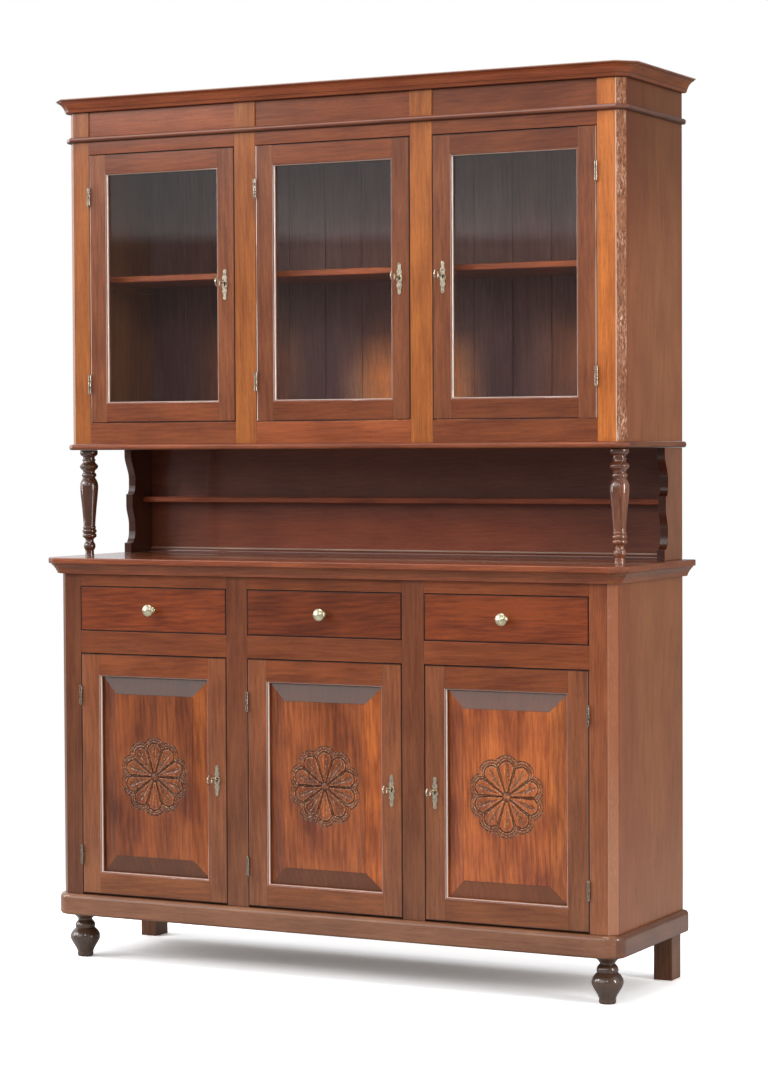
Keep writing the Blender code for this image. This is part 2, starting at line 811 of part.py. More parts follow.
def corner_cants(name, front_y, bottom, top):
    """Cutters that cant the outer front corners of a face frame."""
    tools = []
    for index, sign in enumerate((-1, 1)):
        edge = half_width + cut_overrun
        inner = half_width - corner_cant
        triangle = [
            (sign * (inner - cut_overrun), front_y - cut_overrun),
            (sign * edge, front_y - cut_overrun),
            (sign * edge, front_y + corner_cant + cut_overrun),
        ]
        tools.append(plate(f"{name}_{index}", triangle, "Z", bottom - cut_overrun, top + cut_overrun))
    return tools


def fit_frame_hardware(frame, prefix, front_y, door_range):
    """Fixed hinge knuckles and bolt sockets of a face frame."""
    knuckles = []
    sockets = []
    bottom, top = door_range
    for side in bays:
        name = f"{prefix}_fixed_knuckles_{side}"
        knuckles += hinge_knuckles(name, side, front_y, hinge_levels(bottom, top), on_door=False)
        sockets.append(mortise_tool(f"{prefix}_socket_{side}", side, front_y, bottom, top))
    join(frame, merged(f"{prefix}_fixed_knuckles", knuckles))
    cut(frame, merged(f"{prefix}_sockets", sockets))


base_door_range = (plinth_top + base_door_bottom_gap, door_rail_level - door_top_gap)
hutch_door_range = (hutch_door_level + hutch_door_bottom_gap, head_rail_level - door_top_gap)


def build_base_face_frame():
    """Corner stiles, muntins and rails round the drawers and doors, standing on the plinth."""
    bottom = plinth_top + seat_gap
    top = worktop_bottom - seat_gap
    y_range = (base_front_y, base_front_y + frame_thickness)
    frame = box("base_face_frame", (-half_width, half_width), y_range, (bottom, top))
    doors = bay_openings("base_door_opening", base_front_y, plinth_top - cut_overrun, door_rail_level)
    drawers = bay_openings("drawer_opening", base_front_y, drawer_level, drawer_top_level)
    cut(frame, merged("base_openings", doors + drawers))
    cut(frame, merged("base_corner_cants", corner_cants("base_corner_cant", base_front_y, bottom, top)))
    fit_frame_hardware(frame, "base", base_front_y, base_door_range)
    finish(frame, "orange")


def build_hutch_face_frame():
    """Corner stiles, muntins, bottom rail and head rail with the sunk frieze."""
    bottom = hutch_floor + seat_gap
    top = cornice_level - seat_gap
    y_range = (hutch_front_y, hutch_front_y + frame_thickness)
    frame = box("hutch_face_frame", (-half_width, half_width), y_range, (bottom, top))
    doors = bay_openings("hutch_door_opening", hutch_front_y, hutch_door_level, head_rail_level)
    cut(frame, merged("hutch_openings", doors))
    cut(frame, merged("hutch_corner_cants", corner_cants("hutch_corner_cant", hutch_front_y, bottom, top)))
    sinkings = []
    for side in bays:
        sinkings.append(box(
            f"frieze_sinking_{side}",
            bay_edges(side),
            (hutch_front_y - cut_overrun, hutch_front_y + frieze_depth),
            (cornice_level - frieze_height, cornice_level + cut_overrun),
        ))
    cut(frame, merged("frieze_sinkings", sinkings))
    fit_frame_hardware(frame, "hutch", hutch_front_y, hutch_door_range)
    finish(frame, "orange")


# Doors

def door_limits(side, door_range):
    """Outer limits of a closed door, from the front."""
    left, right = bay_edges(side)
    return (left + door_side_gap, right - door_side_gap), door_range


def build_door_frame(name, prefix, side, front_y, door_range, member, groove):
    """Door frame with a moulded inner edge, a groove all round, its knuckles and its lock."""
    groove_front, groove_rear = groove
    section = [
        (0.0, 0.0),
        (member - inner_moulding, 0.0),
        (member - inner_moulding * inner_moulding_arris_share, inner_moulding * inner_moulding_round_share),
        (member, inner_moulding),
        (member, groove_front),
        (member - groove_depth, groove_front),
        (member - groove_depth, groove_rear),
        (member, groove_rear),
        (member, frame_thickness),
        (0.0, frame_thickness),
    ]
    x_range, z_range = door_limits(side, door_range)
    rings = [upright_ring(x_range, z_range, inset, front_y + depth) for inset, depth in section]
    frame = loft(name, rings, closed=True)
    levels = hinge_levels(*door_range)
    knuckles = hinge_knuckles(f"{name}_knuckles", side, front_y, levels, on_door=True)
    join(frame, merged(f"{name}_knuckles", knuckles))
    fit_lock(frame, prefix, side, front_y, *door_range)
    return finish(frame, "orange")


def rosette(name, x, y, z):
    """Turned disc whose rings are modelled into petals and a scalloped rim."""
    profile = [(0.0, rosette_relief)]
    for radius_share, height_share, _ in rosette_shares:
        profile.append((rosette_radius * radius_share, rosette_relief * height_share))
    profile += [(rosette_radius, -rosette_bed), (0.0, -rosette_bed)]
    disc = turned(name, profile, petal_count * 4, (0.0, 0.0, 0.0), facing_front=False)
    bpy.context.view_layer.update()
    mesh = bpy.data.meshes.new_from_object(disc.evaluated_get(bpy.context.evaluated_depsgraph_get()))
    bpy.data.objects.remove(disc, do_unlink=True)
    models = [model for _, _, model in rosette_shares]
    radii = [rosette_radius * radius_share for radius_share, _, _ in rosette_shares]
    for vertex in mesh.vertices:
        across, up, height = vertex.co
        radius = sqrt(across * across + up * up)
        if radius < weld_distance:
            continue
        petal = abs(cos(petal_count / 2 * acos(up / radius)))
        nearest = min(range(len(radii)), key=lambda index: abs(radii[index] - radius))
        if height > 0.0:
            vertex.co.z = height * (1.0 - models[nearest] * (1.0 - petal))
        if radius > radii[3]:
            grow = 1.0 - scallop_share * (1.0 - petal)
            vertex.co.x = across * grow
            vertex.co.y = up * grow
    mesh.transform(Matrix.Translation((x, y, z)) @ Matrix.Rotation(pi / 2, 4, "X"))
    return add_object(name, mesh)


def build_panel(name, side, front_y, door_range):
    """Raised and fielded panel with its carved rosette, held by a tongue in the door's groove."""
    x_range, z_range = door_limits(side, door_range)
    tongue = base_door_member - groove_depth + seat_gap
    field = base_door_member + panel_bevel_width
    tongue_front = panel_groove_setback
    section = [
        (tongue, tongue_front + panel_tongue_thickness),
        (tongue, tongue_front),
        (base_door_member + seat_gap, tongue_front),
        (field, panel_field_setback + panel_shoulder),
        (field, panel_field_setback),
    ]
    panel = loft(name, [upright_ring(x_range, z_range, inset, front_y + depth) for inset, depth in section])
    middle = ((x_range[0] + x_range[1]) / 2, front_y + panel_field_setback, (z_range[0] + z_range[1]) / 2)
    join(panel, rosette(name + "_rosette", *middle))
    return finish(panel, "red")


def build_glass(name, side, front_y, door_range):
    """Glass pane in the groove of a hutch door."""
    inset = hutch_door_member - groove_depth + seat_gap
    (left, right), (bottom, top) = door_limits(side, door_range)
    front = front_y + glass_groove_setback
    y_range = (front, front + glass_thickness)
    pane = box(name, (left + inset, right - inset), y_range, (bottom + inset, top - inset))
    return finish(pane, "glass")


def build_doors():
    """Three panelled base doors and three glazed hutch doors, each on its hinge axis."""
    panel_groove = (panel_groove_setback - seat_gap, panel_groove_setback + panel_tongue_thickness + seat_gap)
    glass_groove = (glass_groove_setback - seat_gap, glass_groove_setback + glass_thickness + seat_gap)
    kinds = (
        ("base", base_front_y, base_door_range, base_door_member, panel_groove),
        ("hutch", hutch_front_y, hutch_door_range, hutch_door_member, glass_groove),
    )
    for prefix, front_y, door_range, member, groove in kinds:
        for side in bays:
            axis_x, axis_y = hinge_axis(side, front_y)
            hinge = pivot(f"{prefix}_door_hinge_{side}", (axis_x, axis_y, door_range[0]))
            name = f"{prefix}_door_frame_{side}"
            frame = build_door_frame(name, prefix, side, front_y, door_range, member, groove)
            attach(frame, hinge)
            if prefix == "base":
                filling = build_panel(f"base_door_panel_{side}", side, front_y, door_range)
            else:
                filling = build_glass(f"hutch_door_glass_{side}", side, front_y, door_range)
            attach(filling, hinge)
            attach(build_bolt(f"{prefix}_lock_bolt_{side}", side, front_y, *door_range), hinge)
            attach(build_key(f"{prefix}_key_{side}", side, front_y, *door_range), hinge)


# Drawers

def build_drawers():
    """Three drawers, each with a front, an open box and a knob whose stud enters the front."""
    for side in bays:
        left, right = bay_edges(side)
        middle = (left + right) / 2
        knob_level = (drawer_level + drawer_top_level) / 2
        slide = pivot(f"drawer_slide_{side}", (middle, base_front_y, drawer_level))
        front_rear = base_front_y + drawer_front_thickness
        front = box(
            f"drawer_front_{side}",
            (left + drawer_front_gap, right - drawer_front_gap),
            (base_front_y, front_rear),
            (drawer_level + drawer_front_gap, drawer_top_level - drawer_front_gap),
        )
        soften(front, drawer_edge_softening)
        hole_radius = knob_stud_radius + stud_clearance
        hole = circle((middle, knob_level), hole_radius, 8)
        hole_end = base_front_y + knob_stud_length + stud_clearance
        cut(front, plate(f"stud_hole_{side}", hole, "Y", base_front_y - cut_overrun, hole_end))

        x_range = (left + drawer_box_side_gap, right - drawer_box_side_gap)
        box_front = front_rear + seat_gap
        y_range = (box_front, back_panel_y - drawer_rear_clearance)
        bottom = drawer_level + seat_gap
        tray = box(f"drawer_box_{side}", x_range, y_range, (bottom, bottom + drawer_box_height))
        cut(tray, box(
            f"drawer_hollow_{side}",
            (x_range[0] + drawer_wall_thickness, x_range[1] - drawer_wall_thickness),
            (y_range[0] + drawer_wall_thickness, y_range[1] - drawer_wall_thickness),
            (bottom + drawer_bottom_thickness, bottom + drawer_box_height + cut_overrun),
        ))

        profile = [(0.0, knob_projection)] + turned_profile(knob_shares, knob_radius, knob_projection)
        profile += [(knob_stud_radius, 0.0), (knob_stud_radius, -knob_stud_length), (0.0, -knob_stud_length)]
        knob_place = (middle, base_front_y - seat_gap, knob_level)
        knob = turned(f"drawer_knob_{side}", profile, 12, knob_place, facing_front=True)
        for part, kind in ((front, "red"), (tray, "inner"), (knob, "brass")):
            attach(finish(part, kind), slide)


# Niche

def bracket_outline():
    """Scroll-cut side bracket, from the side: two hollows over a short foot."""
    bottom = worktop_top + seat_gap
    top = hutch_bottom_level - seat_gap
    height = top - bottom

    def point(shares):
        depth_share, drop_share = shares
        return back_y - bracket_depth * depth_share, top - height * drop_share

    def between(start, end, across, down):
        return start[0] + (end[0] - start[0]) * across, start[1] + (end[1] - start[1]) * down

    def sweep(start, end, steps=5):
        rows = [step / steps for step in range(1, steps + 1)]
        return [between(start, end, (1 - cos(pi * row)) / 2, row) for row in rows]

    def hollow(start, end, steps=4):
        turns = [pi / 2 * step / steps for step in range(1, steps + 1)]
        return [between(start, end, 1 - cos(turn), sin(turn)) for turn in turns]

    nose = point(bracket_nose_shares)
    upper_waist = point(bracket_upper_waist_shares)
    upper_hollow = point(bracket_upper_hollow_shares)
    cusp = point(bracket_cusp_shares)
    lower_waist = point(bracket_lower_waist_shares)
    lower_hollow = point(bracket_lower_hollow_shares)
    waist_run = height * bracket_waist_run_share
    outline = [(back_y, top), (nose[0], top), nose]
    outline += sweep(nose, upper_waist)
    waist_end = (upper_waist[0], upper_waist[1] - waist_run)
    outline += [waist_end] + hollow(waist_end, upper_hollow)
    outline += [(cusp[0], upper_hollow[1]), cusp]
    outline += sweep(cusp, lower_waist)
    waist_end = (lower_waist[0], lower_waist[1] - waist_run)
    outline += [waist_end] + hollow(waist_end, lower_hollow)
    foot_y = back_y - bracket_depth
    return outline + [(foot_y, lower_hollow[1]), (foot_y, bottom), (back_y, bottom)]


def build_niche():
    """Turned columns, side brackets, back panel with its foot moulding, and the narrow shelf."""
    bottom = worktop_top + seat_gap
    height = niche_height - 2 * seat_gap
    profile = turned_profile(column_shares, column_radius, height)
    upper = column_top_dowel_length
    profile = [(0.0, height + upper), (dowel_radius, height + upper), (dowel_radius, height)] + profile
    profile += [(dowel_radius, 0.0), (dowel_radius, -dowel_length), (0.0, -dowel_length)]
    for name, (x, y) in zip(("column_left", "column_right"), column_places):
        finish(turned(name, profile, 12, (x, y, bottom)), "dark")

    for name, sign in (("bracket_left", -1), ("bracket_right", 1)):
        inner, outer = sorted((sign * half_width, sign * (half_width - bracket_thickness)))
        finish(plate(name, bracket_outline(), "X", inner, outer), "dark")

    reach = half_width - bracket_thickness - seat_gap
    front = back_y - niche_back_thickness
    top = hutch_bottom_level - seat_gap
    step = niche_moulding_depth * niche_moulding_step_share
    outline = [
        (back_y, bottom), (back_y, top), (front, top),
        (front, bottom + niche_moulding_height),
        (front - step, bottom + niche_moulding_height),
        (front - step, bottom + niche_moulding_height * niche_moulding_round_share),
        (front - niche_moulding_depth, bottom + niche_moulding_height * niche_moulding_foot_share),
        (front - niche_moulding_depth, bottom),
    ]
    finish(plate("niche_back", outline, "X", -reach, reach), "dark")

    shelf_level = worktop_top + niche_shelf_height
    rear = front - seat_gap
    shelf = box(
        "niche_shelf", (-reach, reach), (rear - niche_shelf_depth, rear),
        (shelf_level, shelf_level + niche_shelf_thickness),
    )
    finish(soften(shelf, shelf_edge_softening), "orange")


# Hutch

def build_hutch_boards():
    """Bottom board, sides, matchboarded back and shelf."""
    bottom_board = moulded_slab(
        "hutch_bottom", canted_outline, hutch_front_y, hutch_bottom_level, hutch_bottom_thickness,
        hutch_bottom_overhang, hutch_bottom_edge_shares,
    )
    hole_top = hutch_bottom_level + column_top_dowel_length + dowel_clearance
    hole_bottom = hutch_bottom_level - cut_overrun
    cut(bottom_board, dowel_holes("column_top_holes", column_places, hole_bottom, hole_top))
    finish(bottom_board, "orange")

    shelf_level = hutch_floor + hutch_shelf_height
    for name, sign in (("hutch_side_left", -1), ("hutch_side_right", 1)):
        build_side(name, sign, hutch_front_y, hutch_floor, cornice_level, shelf_level)
    front = hutch_front_y + hutch_shelf_setback
    rear = back_panel_y - seat_gap
    shelf_range = (shelf_level, shelf_level + hutch_shelf_thickness)
    shelf = box("hutch_shelf", (-board_reach, board_reach), (front, rear), shelf_range)
    finish(soften(shelf, shelf_edge_softening), "red")

    board_width = 2 * board_reach / matchboard_count
    outline = [(board_reach, back_y), (-board_reach, back_y), (-board_reach, back_panel_y)]
    for index in range(1, matchboard_count):
        seam = -board_reach + board_width * index
        outline += [
            (seam - matchboard_groove_depth, back_panel_y),
            (seam, back_panel_y + matchboard_groove_depth),
            (seam + matchboard_groove_depth, back_panel_y),
        ]
    outline.append((board_reach, back_panel_y))
    back = plate("hutch_back", outline, "Z", hutch_floor + seat_gap, cornice_level - seat_gap)
    finish(back, "red")


def build_crown():
    """Half-round bead round the head of the hutch, and the cornice over it."""
    bead_top = cornice_level - frieze_height
    bead_bottom = bead_top - bead_height
    section = [(seat_gap, bead_bottom)]
    for offset_share, height_share in bead_section_shares:
        section.append((bead_overhang * offset_share, bead_bottom + bead_height * height_share))
    section.append((seat_gap, bead_top))
    outlines = [(canted_outline(hutch_front_y, offset), level) for offset, level in section]
    corners = len(outlines[0][0])
    rings = [[(*outline[corner], level) for outline, level in outlines] for corner in range(corners)]
    finish(loft("bead_moulding", rings), "red")
    cornice = moulded_slab(
        "cornice", canted_outline, hutch_front_y, cornice_level, cornice_height, cornice_overhang,
        cornice_edge_shares,
    )
    finish(cornice, "red")


build_feet()
build_rear_legs()
build_plinth()
build_base_boards()
build_base_face_frame()
build_worktop()
build_niche()
build_hutch_boards()
build_hutch_face_frame()
build_crown()
build_doors()
build_drawers()
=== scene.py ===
# %% [markdown]
# # A china cabinet in stained hardwood
#
# The cabinet has a base with three drawers and three panelled doors, an open niche with turned columns, and
# a hutch with three glazed doors. Its measured solids come ready made as a frame. This lesson dresses them:
# boards with softened edges, mouldings, turned and carved pieces, brass fittings, wood grain and light.
# Everything is in metres. The front faces -Y and Z is up.

# %% Load the frame
from math import asin, cos, pi, radians, sin, sqrt, tan

import bmesh
import bpy
import numpy as np
from mathutils import Matrix, Vector


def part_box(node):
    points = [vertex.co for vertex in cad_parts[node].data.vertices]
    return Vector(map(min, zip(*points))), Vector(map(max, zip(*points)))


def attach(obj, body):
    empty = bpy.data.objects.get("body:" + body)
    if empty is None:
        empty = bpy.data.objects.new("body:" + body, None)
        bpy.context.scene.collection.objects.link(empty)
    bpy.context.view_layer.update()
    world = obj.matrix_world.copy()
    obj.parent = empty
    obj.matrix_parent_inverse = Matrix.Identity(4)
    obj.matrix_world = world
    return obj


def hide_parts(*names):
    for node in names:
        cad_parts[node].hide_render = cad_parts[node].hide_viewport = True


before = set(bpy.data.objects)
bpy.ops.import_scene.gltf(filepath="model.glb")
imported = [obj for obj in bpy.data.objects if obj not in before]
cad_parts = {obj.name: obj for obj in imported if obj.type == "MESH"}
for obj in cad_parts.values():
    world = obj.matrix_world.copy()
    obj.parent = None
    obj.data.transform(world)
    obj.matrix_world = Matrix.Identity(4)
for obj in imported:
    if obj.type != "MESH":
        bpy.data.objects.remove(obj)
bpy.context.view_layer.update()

# %% [markdown]
# ## Sizes
#
# Most places are read from the frame's boxes, so that a new piece lands exactly where the solid is. A few
# sizes that recur, such as door gaps and the rise of the keyhole, are written down once here.

# %% Sizes of the cabinet
MM = 0.001
half_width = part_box("base_side_right")[1][0]
back_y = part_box("worktop")[1][1]
base_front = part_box("drawer_front_left")[0][1]
hutch_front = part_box("hutch_side_left")[0][1] - 22.3 * MM
plinth_bottom, plinth_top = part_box("plinth_frame")[0][2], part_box("plinth_frame")[1][2]
worktop_bottom, worktop_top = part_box("worktop")[0][2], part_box("worktop")[1][2]
hutch_bottom, hutch_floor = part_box("hutch_bottom")[0][2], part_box("hutch_bottom")[1][2]
cornice_bottom, cabinet_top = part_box("cornice")[0][2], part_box("cornice")[1][2]
bead_bottom, bead_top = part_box("bead_moulding")[0][2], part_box("bead_moulding")[1][2]
opening, pitch, stile, cant, board = 412 * MM, 469 * MM, 45 * MM, 18 * MM, 22 * MM
door_gap, lock_distance, keyhole_rise, moulding_width = 1.5 * MM, 26 * MM, 5 * MM, 5 * MM
seam, easing, side_board = 0.3 * MM, 0.9 * MM, 20 * MM
bays = {"left": -pitch, "middle": 0.0, "right": pitch}
base_door = (plinth_top + 4 * MM, 754 * MM)
hutch_door = (1320 * MM, 1974 * MM)
drawer_opening = (810 * MM, 920 * MM)

# %% [markdown]
# ## Working by hand, in code
#
# An operator acts on everything that is selected. These helpers clear the selection first, pick faces or
# edges by where they are, do what the modelling repeats, and leave each finished piece with its place in its
# mesh and its origin at zero.

# %% Selection helpers
def only(piece):
    """Select one object and make it active."""
    if bpy.context.object and bpy.context.object.mode != "OBJECT":
        bpy.ops.object.mode_set(mode="OBJECT")
    bpy.ops.object.select_all(action="DESELECT")
    piece.select_set(True)
    bpy.context.view_layer.objects.active = piece


def edit(piece, mode="FACE"):
    """Go into edit mode on one object with nothing selected."""
    only(piece)
    bpy.ops.object.mode_set(mode="EDIT")
    bpy.ops.mesh.select_mode(type=mode)
    bpy.ops.mesh.select_all(action="DESELECT")


def leave():
    """Go back to object mode."""
    bpy.ops.object.mode_set(mode="OBJECT")


def face_out():
    """Turn all faces of the piece in edit mode outwards, and leave edit mode."""
    bpy.ops.mesh.select_all(action="SELECT")
    bpy.ops.mesh.normals_make_consistent(inside=False)
    leave()


def extrude(step):
    """Extrude what is selected along a step."""
    bpy.ops.mesh.extrude_region_move(TRANSFORM_OT_translate={"value": step})


def inset(thickness, depth=0.0):
    """Inset the selected faces evenly, and raise or sink them."""
    bpy.ops.mesh.inset(thickness=thickness, depth=depth, use_even_offset=True)


def applied(piece, kind, **settings):
    """Give a piece a modifier with its settings, and apply it."""
    modifier = piece.modifiers.new(kind.lower(), kind)
    for name, value in settings.items():
        setattr(modifier, name, value)
    bpy.ops.object.modifier_apply(modifier=modifier.name)


def pick_faces(piece, test):
    """Select the faces whose centre and normal pass a test, and stay in edit mode."""
    edit(piece)
    shape = bmesh.from_edit_mesh(piece.data)
    for face in shape.faces:
        face.select_set(test(face.calc_center_median(), face.normal))
    shape.select_flush_mode()
    bmesh.update_edit_mesh(piece.data)


def pick_edges(piece, test):
    """Select the edges whose two ends pass a test, and stay in edit mode."""
    edit(piece, "EDGE")
    shape = bmesh.from_edit_mesh(piece.data)
    for edge in shape.edges:
        edge.select_set(test(edge.verts[0].co, edge.verts[1].co))
    shape.select_flush_mode()
    bmesh.update_edit_mesh(piece.data)


def done(piece, name, angle=30):
    """Name a piece, put its place in its mesh and shade it smooth up to an angle, with flat faces kept flat."""
    only(piece)
    bpy.ops.object.transform_apply(location=True, rotation=True, scale=True)
    bpy.ops.object.shade_smooth_by_angle(angle=radians(angle))
    applied(piece, "WEIGHTED_NORMAL", keep_sharp=True)
    piece.name = piece.data.name = name
    return piece


def copied(piece, name, shift):
    """A copy with its own mesh, moved by a shift."""
    only(piece)
    bpy.ops.object.duplicate()
    bpy.ops.transform.translate(value=shift)
    return done(bpy.context.object, name)


# %% [markdown]
# ## Boards
#
# A planed board never has a razor edge: sanding leaves a narrow rounded arris that catches the light. Every
# board here is a cube at its size, whose edges are rounded with the bevel operator.

# %% Board helpers
def block(low, high):
    """A cube between two corners, in any order, with its size applied."""
    middle = [(a + b) / 2 for a, b in zip(low, high)]
    size = [abs(b - a) for a, b in zip(low, high)]
    bpy.ops.object.select_all(action="DESELECT")
    bpy.ops.mesh.primitive_cube_add(size=1.0, location=middle, scale=size)
    piece = bpy.context.object
    bpy.ops.object.transform_apply(location=True, rotation=True, scale=True)
    return piece


def soften(piece, width, segments=2):
    """Round all sharp edges of a piece."""
    only(piece)
    applied(piece, "BEVEL", width=width, segments=segments, limit_method="ANGLE", angle_limit=radians(35))


def plank(name, low, high, arris=easing, segments=2):
    """A plain board with softened arrises."""
    piece = block(low, high)
    soften(piece, arris, segments)
    return done(piece, name)


def ease(piece, edge_x, width):
    """Round the two upright edges of a board at one side more than the others."""
    pick_edges(piece, lambda a, b: max(abs(a.x - edge_x), abs(b.x - edge_x)) < 1e-6 and abs(a.z - b.z) > 0.01)
    bpy.ops.mesh.bevel(offset=width, segments=4, affect="EDGES")
    leave()


def carve(piece, tool):
    """Cut one piece out of another and remove the tool."""
    only(piece)
    applied(piece, "BOOLEAN", object=tool, solver="EXACT")
    bpy.data.objects.remove(tool, do_unlink=True)
    return piece


# %% [markdown]
# ## Sawn outlines and turned pieces
#
# A scroll bracket or a brass plate is one outline with a thickness. A single point is extruded along the
# outline, filled to a face and extruded once more. A turned column starts in the same way: its profile is
# one chain of edges, and the spin operator sweeps it round, as a lathe does.

# %% Outline and lathe helpers
def chain(points):
    """One chain of edges through a list of points, extruded from a single vertex."""
    bpy.ops.object.select_all(action="DESELECT")
    bpy.ops.mesh.primitive_plane_add(size=1.0, location=(0, 0, 0))
    piece = bpy.context.object
    bpy.ops.object.mode_set(mode="EDIT")
    bpy.ops.mesh.select_mode(type="VERT")
    bpy.ops.mesh.select_all(action="SELECT")
    bpy.ops.mesh.merge(type="CENTER")
    bpy.ops.transform.translate(value=points[0])
    for start, end in zip(points, points[1:]):
        extrude(Vector(end) - Vector(start))
    return piece


def sawn(name, outline, axis, start, end, arris=0.0):
    """An outline in a plane, filled and thickened along X or Y."""
    if axis == "X":
        piece, thickness = chain([(start, u, v) for u, v in outline]), (end - start, 0, 0)
    else:
        piece, thickness = chain([(u, start, v) for u, v in outline]), (0, end - start, 0)
    bpy.ops.mesh.select_all(action="SELECT")
    bpy.ops.mesh.edge_face_add()
    extrude(thickness)
    face_out()
    if arris:
        soften(piece, arris)
    return done(piece, name)


def flowing(points, steps=3):
    """A smooth curve through points; a point given twice stays a sharp corner."""
    path = []
    last = len(points) - 1
    for index in range(last):
        p1, p2 = Vector(points[index]), Vector(points[index + 1])
        if (p2 - p1).length < 1e-7:
            continue
        p0 = Vector(points[index - 1]) if index > 0 else p1
        p3 = Vector(points[index + 2]) if index + 2 <= last else p2
        if (p1 - p0).length < 1e-7:
            p0 = p1
        if (p3 - p2).length < 1e-7:
            p3 = p2
        for step in range(steps):
            t = step / steps
            path.append(
                0.5 * (2 * p1 + (p2 - p0) * t + (2 * p0 - 5 * p1 + 4 * p2 - p3) * t ** 2
                       + (3 * p1 - p0 - 3 * p2 + p3) * t ** 3)
            )
    path.append(Vector(points[last]))
    return [tuple(point) for point in path]


def turned(name, profile, centre, toward="Z", steps=56):
    """A lathe piece from (radius, height) points; toward -Y, the height runs out of the front."""
    x, y, z = centre
    if toward == "Z":
        points = [(x + radius, y, z + height) for radius, height in profile]
        axis = (0, 0, 1)
    else:
        points = [(x + radius, y - height, z) for radius, height in profile]
        axis = (0, 1, 0)
    piece = chain(points)
    bpy.ops.mesh.select_all(action="SELECT")
    bpy.ops.mesh.spin(steps=steps, angle=2 * pi, center=centre, axis=axis)
    bpy.ops.mesh.select_all(action="SELECT")
    bpy.ops.mesh.remove_doubles(threshold=1e-6)
    face_out()
    return done(piece, name, 35)


# %% [markdown]
# ## Moulded boards
#
# The worktop, cornice, plinth and the board under the hutch all carry a moulding round the front and both
# sides. The widest layer is a cube whose front corners are bevelled. Its top and bottom faces are then inset
# and moved step by step along the moulding, which keeps the mitres at the corners even. The cube starts too
# deep at the back, and one bisect trims it flush there.

# %% Moulding helper
def moulded(name, front_y, profile, corner, corner_steps=1):
    """A board with a moulded edge. The profile lists (offset, height) in metres from the bottom up."""
    widest = max(offset for offset, _ in profile)
    layer = [index for index, (offset, _) in enumerate(profile) if offset > widest - 1e-7]
    low, high = profile[layer[0]][1], profile[layer[-1]][1]
    assert high - low > 1 * MM, name
    spare = widest + 40 * MM
    piece = block((-half_width - widest, front_y - widest, low), (half_width + widest, back_y + spare, high))
    pick_edges(piece, lambda a, b: abs(a.z - b.z) > 1e-6 and a.y < 0 and b.y < 0)
    bpy.ops.mesh.bevel(offset=corner(widest), segments=corner_steps, profile=0.5, affect="EDGES")
    for upward, steps in ((1, profile[layer[-1] + 1:]), (-1, profile[:layer[0]][::-1])):
        offset, level = widest, high if upward > 0 else low
        pick_faces(piece, lambda c, n: n.z * upward > 0.9)
        for next_offset, next_level in steps:
            inward, rise = offset - next_offset, (next_level - level) * upward
            if inward > 3e-5:
                inset(inward, max(rise, 0.0))
                offset, level = next_offset, level + max(rise, 0.0) * upward
            elif rise > 3e-5:
                extrude((0, 0, rise * upward))
                level = next_level
    edit(piece)
    bpy.ops.mesh.select_all(action="SELECT")
    bpy.ops.mesh.bisect(plane_co=(0, back_y, 0), plane_no=(0, 1, 0), use_fill=True, clear_outer=True)
    face_out()
    return done(piece, name, 32)


def canted(widest):
    """How far a 45 degree corner cut runs along the widest layer."""
    return cant + widest * (2 - sqrt(2))


def scaled(profile, level=0.0):
    """A smooth profile given in millimetres, moved up to a level in metres."""
    return [(offset * MM, level + height * MM) for offset, height in flowing(profile)]


# %% [markdown]
# ## Finishes: stained wood
#
# The real wood is a red-brown stain under a satin lacquer. Its figure has three scales: growth rings that run
# as long arches or straight lines, fine streaks along the board, and short dark pores. All three are noises
# stretched along the grain, so they are built once, as a node group. Each board then gets its own material
# with its own tone and its own place in the pattern, because no two boards come from the same plank.

# %% Node helpers
def feed(node, entry, value):
    """Link an output to a node's input, or set the input to a value."""
    if isinstance(value, bpy.types.NodeSocket):
        node.id_data.links.new(value, node.inputs[entry])
    else:
        node.inputs[entry].default_value = value


def put(node, **values):
    """Set what is named on a node: one of its settings, or else one of its inputs."""
    for name, value in values.items():
        if hasattr(node, name):
            setattr(node, name, value)
        else:
            feed(node, name.replace("_", " "), value)
    return node


def add(tree, kind, **values):
    """A new node with its settings and inputs."""
    return put(tree.nodes.new(f"ShaderNode{kind}"), **values)


def in_order(node, *values):
    """Feed values to the first inputs of a node, one after the other."""
    for entry, value in enumerate(values):
        feed(node, entry, value)
    return node


def tree_of(*values):
    """The tree that the first output among some values belongs to."""
    return next(value.id_data for value in values if isinstance(value, bpy.types.NodeSocket))


def maths(operation, first, second=0.0, clamp=False):
    """One sum with two values, each a number or an output."""
    return in_order(add(tree_of(first, second), "Math", operation=operation, use_clamp=clamp), first, second).outputs[0]


def vector_maths(operation, *values):
    """One sum with vectors."""
    return in_order(add(tree_of(*values), "VectorMath", operation=operation), *values)


def times(first, *others):
    """The product of several values."""
    for other in others:
        first = maths("MULTIPLY", first, other)
    return first


def noise(vector, scale, detail, roughness=0.5, distortion=0.0):
    """Noise from 0 to 1."""
    node = add(vector.id_data, "TexNoise", Vector=vector, Scale=scale, Detail=detail)
    return put(node, Roughness=roughness, Distortion=distortion).outputs["Fac"]


def stretched(vector, across, along, detail=2.0, roughness=0.5):
    """Noise with one scale across the grain and another along it."""
    mapping = add(vector.id_data, "Mapping", Vector=vector, Scale=(across, across, along))
    return noise(mapping.outputs[0], 1.0, detail, roughness)


def ramp(value, low, high, to_low=0.0, to_high=1.0):
    """Stretch a range of values to another, clamped at both ends."""
    return in_order(add(value.id_data, "MapRange"), value, low, high, to_low, to_high).outputs[0]


